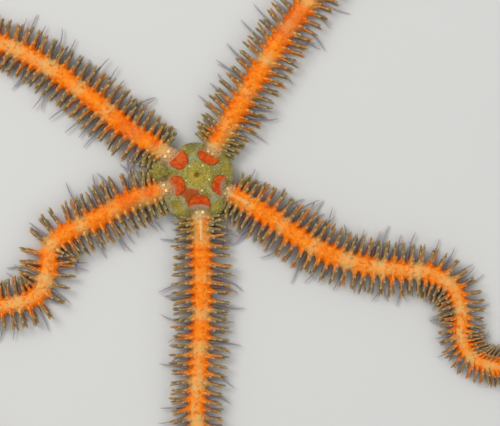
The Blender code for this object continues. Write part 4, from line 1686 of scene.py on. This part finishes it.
@dataclass
class Grains:
    """The granules strewn over the disc, clear of the shields, the blotch and the arms."""

    disc: Disc
    shields: Sequence[Shield]  # the shields, which stay bare
    number: int = 3200  # how many are tried
    small: float = 0.06  # the smallest radius in mm
    large: float = 0.15  # the largest radius in mm
    seed: int = 5

    def sprigs(self) -> list[Sprig]:
        """Places the granules.

        Returns:
            Those that don't fall on a bare place.
        """
        chance = random.Random(self.seed)
        found: list[Sprig] = []
        for _ in range(self.number):
            angle = chance.uniform(0, math.tau)
            radius = float(self.disc.rim_radius(angle)) * math.sqrt(chance.uniform(0.012, 0.99))
            x, y = radius * math.cos(angle), radius * math.sin(angle)
            size = self.small + (self.large - self.small) * chance.random() ** 2
            tint = chance.random() ** 2.5
            if not self.is_bare(x, y):
                found.append(self.grain(x, y, size, tint))
        return found

    def is_bare(self, x: float, y: float) -> bool:
        """Tells the places where no granules grow.

        Args:
            x, y: A place in mm.

        Returns:
            Whether it lies on the smooth blotch, on a shield or in the notch outside one.
        """
        if all(way_x * x + way_y * y < reach for way_x, way_y, reach in BLOTCH):
            return True
        return any(shield.share(x, y) < 1.08 or shield.opening(x, y) > 0.2 for shield in self.shields)

    def grain(self, x: float, y: float, radius: float, tint: float) -> Sprig:
        """One granule, half sunk in the disc.

        Args:
            x, y: Its place in mm.
            radius: Its radius in mm.
            tint: Its tint from 0 to 1.

        Returns:
            The granule.
        """
        step = 0.1
        xs, ys = np.array([x, x + step, x]), np.array([y, y, y + step])
        heights = self.disc.dome(xs, ys) + self.disc.lumps(xs, ys)
        slope = Vector((heights[0] - heights[1], heights[0] - heights[2], step)).normalized()
        place = Vector((x, y, heights[0] - 0.25 * radius)) * MM
        angle = math.atan2(y, x)
        tilt = math.asin(min(1.0, math.hypot(x, y) / float(self.disc.rim_radius(angle)))) / math.pi
        home = Strip.DISC.home(angle % math.tau / math.tau, tilt)
        return Sprig(place, slope, (radius * MM, radius * MM, radius * MM), home, tint)


@dataclass
class CuffScales:
    """The small pale scales on the skin between a shield and the orange of its arm."""

    shield: Shield
    number: int = 75
    small: float = 0.10  # the smallest radius in mm
    large: float = 0.22  # the largest radius in mm
    thick: float = 0.7  # how thick they are, as a share of their radius

    def sprigs(self) -> list[Sprig]:
        """Places the scales, thickest near the shield.

        Returns:
            The scales.
        """
        arm, plan = self.shield.arm, self.shield.plan
        chance = random.Random(arm.seed + 70)
        near, far = plan.reach - plan.bite + 0.4, arm.plan.cuff + 0.9
        found: list[Sprig] = []
        for _ in range(self.number):
            along = near + (far - near) * chance.random() ** 0.8
            angle = math.radians(chance.uniform(18, 162))
            root, home = arm.foot(along, angle, 0.02)
            across = arm.ways(along)[1] * math.cos(angle)
            size = (self.small + (self.large - self.small) * chance.random()) * MM
            facing = Vector((*across, math.sin(angle)))
            found.append(Sprig(root, facing, (size, size, size * self.thick), home, chance.random()))
        return found


@dataclass
class PebbleForms:
    """A few small round grains of unit radius."""

    name: str
    height: float  # how tall they are, in radii
    rows: int
    around: int
    seed: int
    count: int = 3
    rough: float = 0.1  # how uneven they are

    def collection(self) -> Collection:
        """Makes the forms.

        Returns:
            A collection of them that isn't part of the scene.
        """
        made = bpy.data.collections.new(self.name)
        chance = random.Random(self.seed)
        tilt = np.linspace(0.12, 0.9, self.rows)[:, None] * np.pi
        angle = np.linspace(0, 2 * np.pi, self.around + 1)[None, :]
        for _ in range(self.count):
            draws = [[chance.uniform(-1, 1) for _ in range(self.around + 1)] for _ in range(self.rows)]
            swell = 1 + self.rough * np.array(draws)
            x, y = (np.sin(tilt) * way * swell for way in (np.cos(angle), np.sin(angle)))
            z = np.cos(tilt) * self.height * swell
            mesh = Loft(np.stack([x, y, z], -1)[::-1, :-1]).mesh("grain form")
            places = np.array([vertex.co for vertex in mesh.vertices])
            store(mesh, "patch", (0.5 + 0.4 * places) * (1.0, 1.0, 0.0))
            made.objects.link(bpy.data.objects.new("grain form", mesh))
        return made


@dataclass
class TubeFeet:
    """The soft tube feet that reach out between the spines of one arm."""

    arm: Arm
    length: float = 7.8  # the length in mm of the longest
    radius: float = 0.33  # the radius in mm at the root
    steps: int = 12  # how many points the line of a foot has
    sparse: float = 0.36  # the share of the joints that have none showing
    phase: float = 0.24  # where on a joint they stand, as a share of its length
    climb: float = -30.0  # how high up the flank they are rooted, in degrees
    sunk: float = 0.3  # how far in they are rooted, as a share of the way to the arm's middle

    def lines(self) -> Mesh:
        """Draws the middle lines of the feet.

        Returns:
            A mesh of lines with their attributes.
        """
        chance = random.Random(self.arm.seed + 400)
        first, last = self.arm.plan.root + 1, self.arm.path.length - 5
        feet = [
            self.foot(along, side, chance)
            for side in (Side.RIGHT, Side.LEFT)
            for along in self.arm.places(self.phase)
            if first <= along <= last and chance.random() >= self.sparse
        ]
        lines, girths, homes = zip(*feet)
        count = len(feet) * self.steps
        made = bpy.data.meshes.new("lines")
        edges = [(point, point + 1) for point in range(count) if (point + 1) % self.steps]
        made.from_pydata(np.concatenate(lines).tolist(), edges, [])
        store(made, "girth", np.concatenate(girths))
        store(made, "reach", np.tile(np.linspace(0, 1, self.steps), len(feet)))
        store(made, "home", np.repeat(homes, self.steps, axis=0))
        return made

    def foot(self, along: float, side: Side, chance: random.Random) -> tuple[np.ndarray, np.ndarray, Spot]:
        """One tube foot, which droops towards the floor.

        Args:
            along: Its distance in mm along the arm.
            side: Its side of the arm.
            chance: The source of its small differences.

        Returns:
            Its middle line in metres, its radius at each point and its root's place on
            the bake map.
        """
        root, home = self.arm.foot(along, side.angle(self.climb), self.sunk)
        size = 1 - 0.7 * float(self.arm.share(along)) ** 1.3
        ramp = min(1.0, 0.6 + 0.4 * (along - self.arm.plan.root) / 8.0)
        length = self.length * size * ramp * chance.uniform(0.66, 1.06) * MM
        radius = self.radius * (0.45 + 0.55 * size) * chance.uniform(0.85, 1.15) * MM
        heading, across = self.arm.ways(along, side)
        turn = math.radians(chance.uniform(-14, 26))
        curl = math.radians(chance.gauss(0, 26))
        reach = np.linspace(0, 1, self.steps)
        turns = turn + curl * reach**2
        steps = np.outer(np.cos(turns), across) + np.outer(np.sin(turns), heading)
        line = np.zeros((self.steps, 3))
        line[1:, :2] = np.cumsum((steps[:-1] + steps[1:]) / 2, axis=0) * length / (self.steps - 1)
        line[:, :2] += (root.x, root.y)
        rest = chance.uniform(0.3, 0.9) * MM
        wave = 0.25 * MM * np.sin(np.pi * reach) * chance.uniform(-0.3, 1.2)
        girth = radius * (1 - 0.70 * reach**0.9) * np.where(reach > 0.95, 0.6, 1.0)
        line[:, 2] = np.maximum(rest + (root.z - rest) * (1 - reach) ** 1.3 + wave, girth + 0.05 * MM)
        return line, girth, home


# The whole animal


ROUTES: dict[str, Sequence[Place]] = {
    "arm_1": (
        (0, 0), (2.8, 4.7), (7.3, 12.1), (14.1, 23.2), (19.9, 31.2), (25.3, 38.6),
        (32.3, 44.8), (41.3, 48.2), (51.0, 48.4), (60.0, 44.8), (67.1, 38.4),
    ),
    "arm_2": (
        (0, 0), (5.9, -3.3), (12.9, -7.4), (19.9, -12.2), (27.1, -15.4), (34.7, -16.9),
        (41.5, -17.6), (46.0, -20.4), (47.5, -25.0), (47.5, -29.4), (50.0, -33.2), (55.5, -34.8),
        (61.0, -35.2), (66.4, -33.4), (70.2, -29.4), (71.6, -24.2), (70.6, -19.4),
    ),
    "arm_3": (
        (0, 0), (0.5, -7.2), (0.7, -14.0), (0.7, -24.0), (0.2, -35.0), (-0.2, -43.0), (1.0, -49.8),
        (4.6, -56.3), (10.2, -60.6), (17.3, -62.3), (24.4, -60.8), (31.0, -56.8), (36.5, -52.2),
    ),
    "arm_4": (
        (0, 0), (-7.6, -3.0), (-12.7, -4.8), (-18.2, -7.9), (-23.1, -10.2), (-26.4, -13.0),
        (-27.0, -17.4), (-29.0, -21.6), (-34.0, -23.4), (-40.0, -24.2), (-45.0, -27.6), (-47.4, -33.6),
        (-46.6, -40.2), (-42.6, -46.2), (-36.4, -50.2), (-29.0, -51.6), (-24.6, -51.2),
    ),
    "arm_5": (
        (0, 0), (-6.4, 4.4), (-12.7, 8.5), (-19.1, 13.8), (-26.9, 19.5), (-35.5, 23.8), (-44.0, 25.2),
        (-51.2, 22.8), (-56.0, 17.0), (-57.2, 10.0), (-55.0, 3.2), (-50.0, -2.6), (-45.6, -5.8),
    ),
}
ARMS = {
    "arm_1": ArmPlan(5.9, cuff=4.9, first_band=10.8, tan_reach=(1.5, 6.5), stripe=0.1, bleach=0.7, lean=12.0),
    "arm_2": ArmPlan(6.9, cuff=6.2, first_band=10.9, tan_reach=(1.0, 4.0), stripe=0.6, bleach=0.1, lean=3.0),
    "arm_3": ArmPlan(7.6, cuff=7.0, first_band=11.4, tan_reach=(6.0, 6.0), stripe=1.0, bleach=0.6, lean=8.0),
    "arm_4": ArmPlan(7.2, cuff=6.5, first_band=9.8, tan_reach=(10.0, 1.0), stripe=0.0, bleach=0.2, lean=-6.0),
    "arm_5": ArmPlan(7.4, cuff=6.9, first_band=13.4, tan_reach=(4.0, 1.5), stripe=0.1, bleach=0.8, lean=2.0),
}
SHIELDS = {
    "arm_1": ShieldPlan(58.7, 4.2, 1.95, 1.6, 2.0, bite=0.25, fade=0.2),
    "arm_2": ShieldPlan(338.3, 5.1, 1.75, 2.0, 11.0, bite=0.4, fade=0.8),
    "arm_3": ShieldPlan(274.6, 6.0, 1.9, 2.4, -6.0, bite=0.4, fade=1.4),
    "arm_4": ShieldPlan(206.5, 4.75, 1.72, 2.1, -5.0, bite=0.3, fade=0.6),
    "arm_5": ShieldPlan(139.7, 5.0, 1.68, 2.4, -4.0, bite=0.25, fade=0.2),
}


@dataclass
class Knobs:
    """The cream knobs near the middle of the disc, and in pairs at the roots of the arms."""

    grains: Grains  # the granules of the disc, among which its knobs stand
    arms: Sequence[Arm]
    # The bearing in degrees and the distance in mm of each knob on the disc
    spots: Sequence[Place] = ((58, 1.95), (131, 2.0), (208, 2.2), (288, 2.95), (339, 2.35))
    pair: Place = (74, 106)  # the angles in degrees round an arm's section at which its two knobs stand
    inside: float = 0.3  # how far inside the start of its orange they stand, in mm
    radius: float = 0.22  # the middling radius in mm of a knob on the disc
    arm_radius: float = 0.36  # the same of a knob on an arm
    seed: int = 8

    def sprigs(self) -> list[Sprig]:
        """Places the knobs.

        Returns:
            Those on the disc, and then those on the arms.
        """
        chance = random.Random(self.seed)
        found: list[Sprig] = []
        for bearing, reach in self.spots:
            turn = math.radians(bearing)
            radius = self.radius * chance.uniform(0.85, 1.15)
            tint = chance.uniform(0.2, 0.8)
            found.append(self.grains.grain(reach * math.cos(turn), reach * math.sin(turn), radius, tint))
        for arm in self.arms:
            for angle in self.pair:
                root, home = arm.foot(arm.plan.cuff - self.inside, math.radians(angle), 0.0)
                size = self.arm_radius * MM * chance.uniform(0.8, 1.1)
                tint = chance.uniform(0.5, 1.0)
                found.append(Sprig(root, Vector((0, 0, 1)), (size, size, size), home, tint))
        return found


@dataclass
class BrittleStar:
    """The animal, put together from its disc, arms, shields, spines and feet."""

    disc: Disc = field(default_factory=Disc)

    def __post_init__(self) -> None:
        """Lays out the arms and the shields over their roots."""
        self.arms = [
            Arm(name, Path(points), ARMS[name], Strip[name.upper()], 11 + number)
            for number, (name, points) in enumerate(ROUTES.items())
        ]
        self.shields = [Shield(arm, self.disc, SHIELDS[arm.name]) for arm in self.arms]

    def make_skin(self, material: Material) -> Object:
        """Fuses the disc and the arms into one skin, which replaces every solid.

        Args:
            material: The skin's material.

        Returns:
            The skin.
        """
        body = show("disc", self.disc.surface(self.arms, self.shields))
        group = bpy.data.collections.new("arms to fuse")
        bpy.context.scene.collection.children.link(group)
        for arm in self.arms:
            group.objects.link(bpy.data.objects.new(arm.name, arm.surface()))
        modifier = body.modifiers.new("fuse", "BOOLEAN")
        modifier.operation = "UNION"
        modifier.operand_type = "COLLECTION"
        modifier.collection = group
        modifier.solver = "MANIFOLD"
        mesh = evaluated_mesh(body)
        for other in [body, *group.objects]:
            bpy.data.objects.remove(other, do_unlink=True)
        bpy.data.collections.remove(group)
        mesh.shade_smooth()
        skin = dress("skin", mesh, material)
        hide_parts(*frame["nodes"])
        return skin

    def make_shields(self, material: Material) -> None:
        """Makes the pairs of plates over the roots of the arms."""
        for shield in self.shields:
            dress(f"{shield.arm.name}_shields", shield.plate(), material)

    def make_grains(self, strewing: Strewing) -> None:
        """Makes the granules of the disc, the scales of the cuffs and the cream knobs.

        Args:
            strewing: What sets the small forms in their places.
        """
        stones = PebbleForms("stone forms", height=0.9, rows=4, around=7, seed=3).collection()
        rounds = PebbleForms("knob forms", height=0.85, rows=9, around=16, seed=5).collection()
        grains = Grains(self.disc, self.shields)
        scales = [scale for shield in self.shields for scale in CuffScales(shield).sprigs()]
        knobs = Knobs(grains, self.arms).sprigs()
        dull = GranuleFinish("granule", linear(0.52, 0.48, 0.17), linear(0.72, 0.70, 0.44))
        rosy = GranuleFinish("cuff_scale", linear(0.76, 0.58, 0.40), linear(0.84, 0.74, 0.54))
        cream = GranuleFinish("knob", linear(0.80, 0.72, 0.40), linear(0.97, 0.90, 0.62))
        for name, sprigs, finish, forms, seed in (
            ("disc_granules", grains.sprigs(), dull, stones, 4),
            ("cuff_scales", scales, rosy, stones, 9),
            ("cream_knobs", knobs, cream, rounds, 6),
        ):
            material = finish.material()
            mesh = strewing.shape(sprig_mesh(sprigs), material, Forms=forms, Seed=seed, Roll=math.tau)
            dress(name, mesh, material)

    def make_spines(self, strewing: Strewing, material: Material) -> None:
        """Makes the spines of every arm, one piece for each side.

        Args:
            strewing: What sets the spines in their places.
            material: Their material.
        """
        forms = SpineForms().collection()
        for arm in self.arms:
            for side in Side:
                source, seed = sprig_mesh(SpineCoat(arm, side).sprigs()), arm.seed + side.value
                mesh = strewing.shape(source, material, Forms=forms, Seed=seed, Roll=math.tau)
                dress(f"{arm.name}_spines_{side.name.lower()}", mesh, material)

    def make_feet(self, drawing: Drawing, material: Material) -> None:
        """Makes the tube feet of every arm.

        Args:
            drawing: What draws a tube along each of their lines.
            material: Their material.
        """
        for arm in self.arms:
            mesh = drawing.shape(TubeFeet(arm).lines(), material, Sides=8)
            dress(f"{arm.name}_tube_feet", mesh, material)


# The studio


@dataclass(frozen=True)
class Lamp:
    """A soft round light that shines on the middle of the floor."""

    name: str
    place: Spot  # where it hangs, in m
    size: float  # how wide it is, in m
    power: float  # its power, in W

    def make(self) -> None:
        """Hangs the light in the scene."""
        light = bpy.data.lights.new(self.name, "AREA")
        light.shape = "DISK"
        light.size = self.size
        light.energy = self.power
        lamp = show(self.name, light)
        lamp.location = self.place
        lamp.rotation_euler = (-Vector(self.place)).to_track_quat("-Z", "Y").to_euler()


@dataclass
class Studio:
    """The pale floor, the soft lights and the camera over the photo's part of the floor."""

    floor_reach: float = 3.0  # how far the floor reaches from its middle, in m
    # A large key light and a weaker fill light
    lamps: Sequence[Lamp] = (
        Lamp("key", (-0.28, 0.22, 0.42), size=0.30, power=1.45),
        Lamp("fill", (0.36, -0.20, 0.40), size=0.45, power=0.55),
    )
    sky: float = 0.66  # how bright the even sky is
    middle: Place = (9.47, -6.82)  # the middle of the view, in mm
    width: float = 90.0  # how much of the floor the view is wide, in mm
    lens: float = 140.0  # the camera's focal length, in mm
    sensor: float = 36.0  # the width of its sensor, in mm
    level: float = 1.5  # the height at which the view has that width, in mm

    def make_floor(self) -> None:
        """Makes the floor, which isn't part of the animal."""
        reach = self.floor_reach
        corners = [(-reach, -reach, 0), (reach, -reach, 0), (reach, reach, 0), (-reach, reach, 0)]
        mesh = bpy.data.meshes.new("floor")
        mesh.from_pydata(corners, [], [(0, 1, 2, 3)])
        mesh.materials.append(FloorFinish().material())
        floor = show("floor", mesh)

    def make_lights(self) -> None:
        """Makes the lights and the even sky."""
        for lamp in self.lamps:
            lamp.make()
        world = bpy.data.worlds.new("sky")
        world.use_nodes = True
        sky = world.node_tree.nodes["Background"]
        sky.inputs["Color"].default_value = (1.0, 1.0, 1.0, 1.0)
        sky.inputs["Strength"].default_value = self.sky
        bpy.context.scene.world = world
        bpy.context.scene.view_settings.view_transform = "Standard"

    def make_camera(self) -> None:
        """Makes the camera, which looks straight down."""
        data = bpy.data.cameras.new("camera")
        data.lens = self.lens
        data.sensor_width = self.sensor
        data.clip_start = 0.01
        data.clip_end = 10.0
        height = self.width * self.lens / self.sensor + self.level
        camera = show("camera", data)
        camera.location = (self.middle[0] * MM, self.middle[1] * MM, height * MM)
        bpy.context.scene.camera = camera


def main() -> None:
    """Builds the animal and the studio in order, and notes the number of faces of each piece of the animal.
    """
    logging.basicConfig(level=logging.INFO, format="%(name)s: %(message)s")
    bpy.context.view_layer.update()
    star = BrittleStar()
    strewing = Strewing()
    star.make_skin(SkinFinish().material())
    star.make_shields(ShieldFinish().material())
    star.make_grains(strewing)
    star.make_spines(strewing, SpineFinish().material())
    star.make_feet(Drawing(), FootFinish().material())
    studio = Studio()
    studio.make_floor()
    studio.make_lights()
    studio.make_camera()


if __name__ == "__main__":
    main()
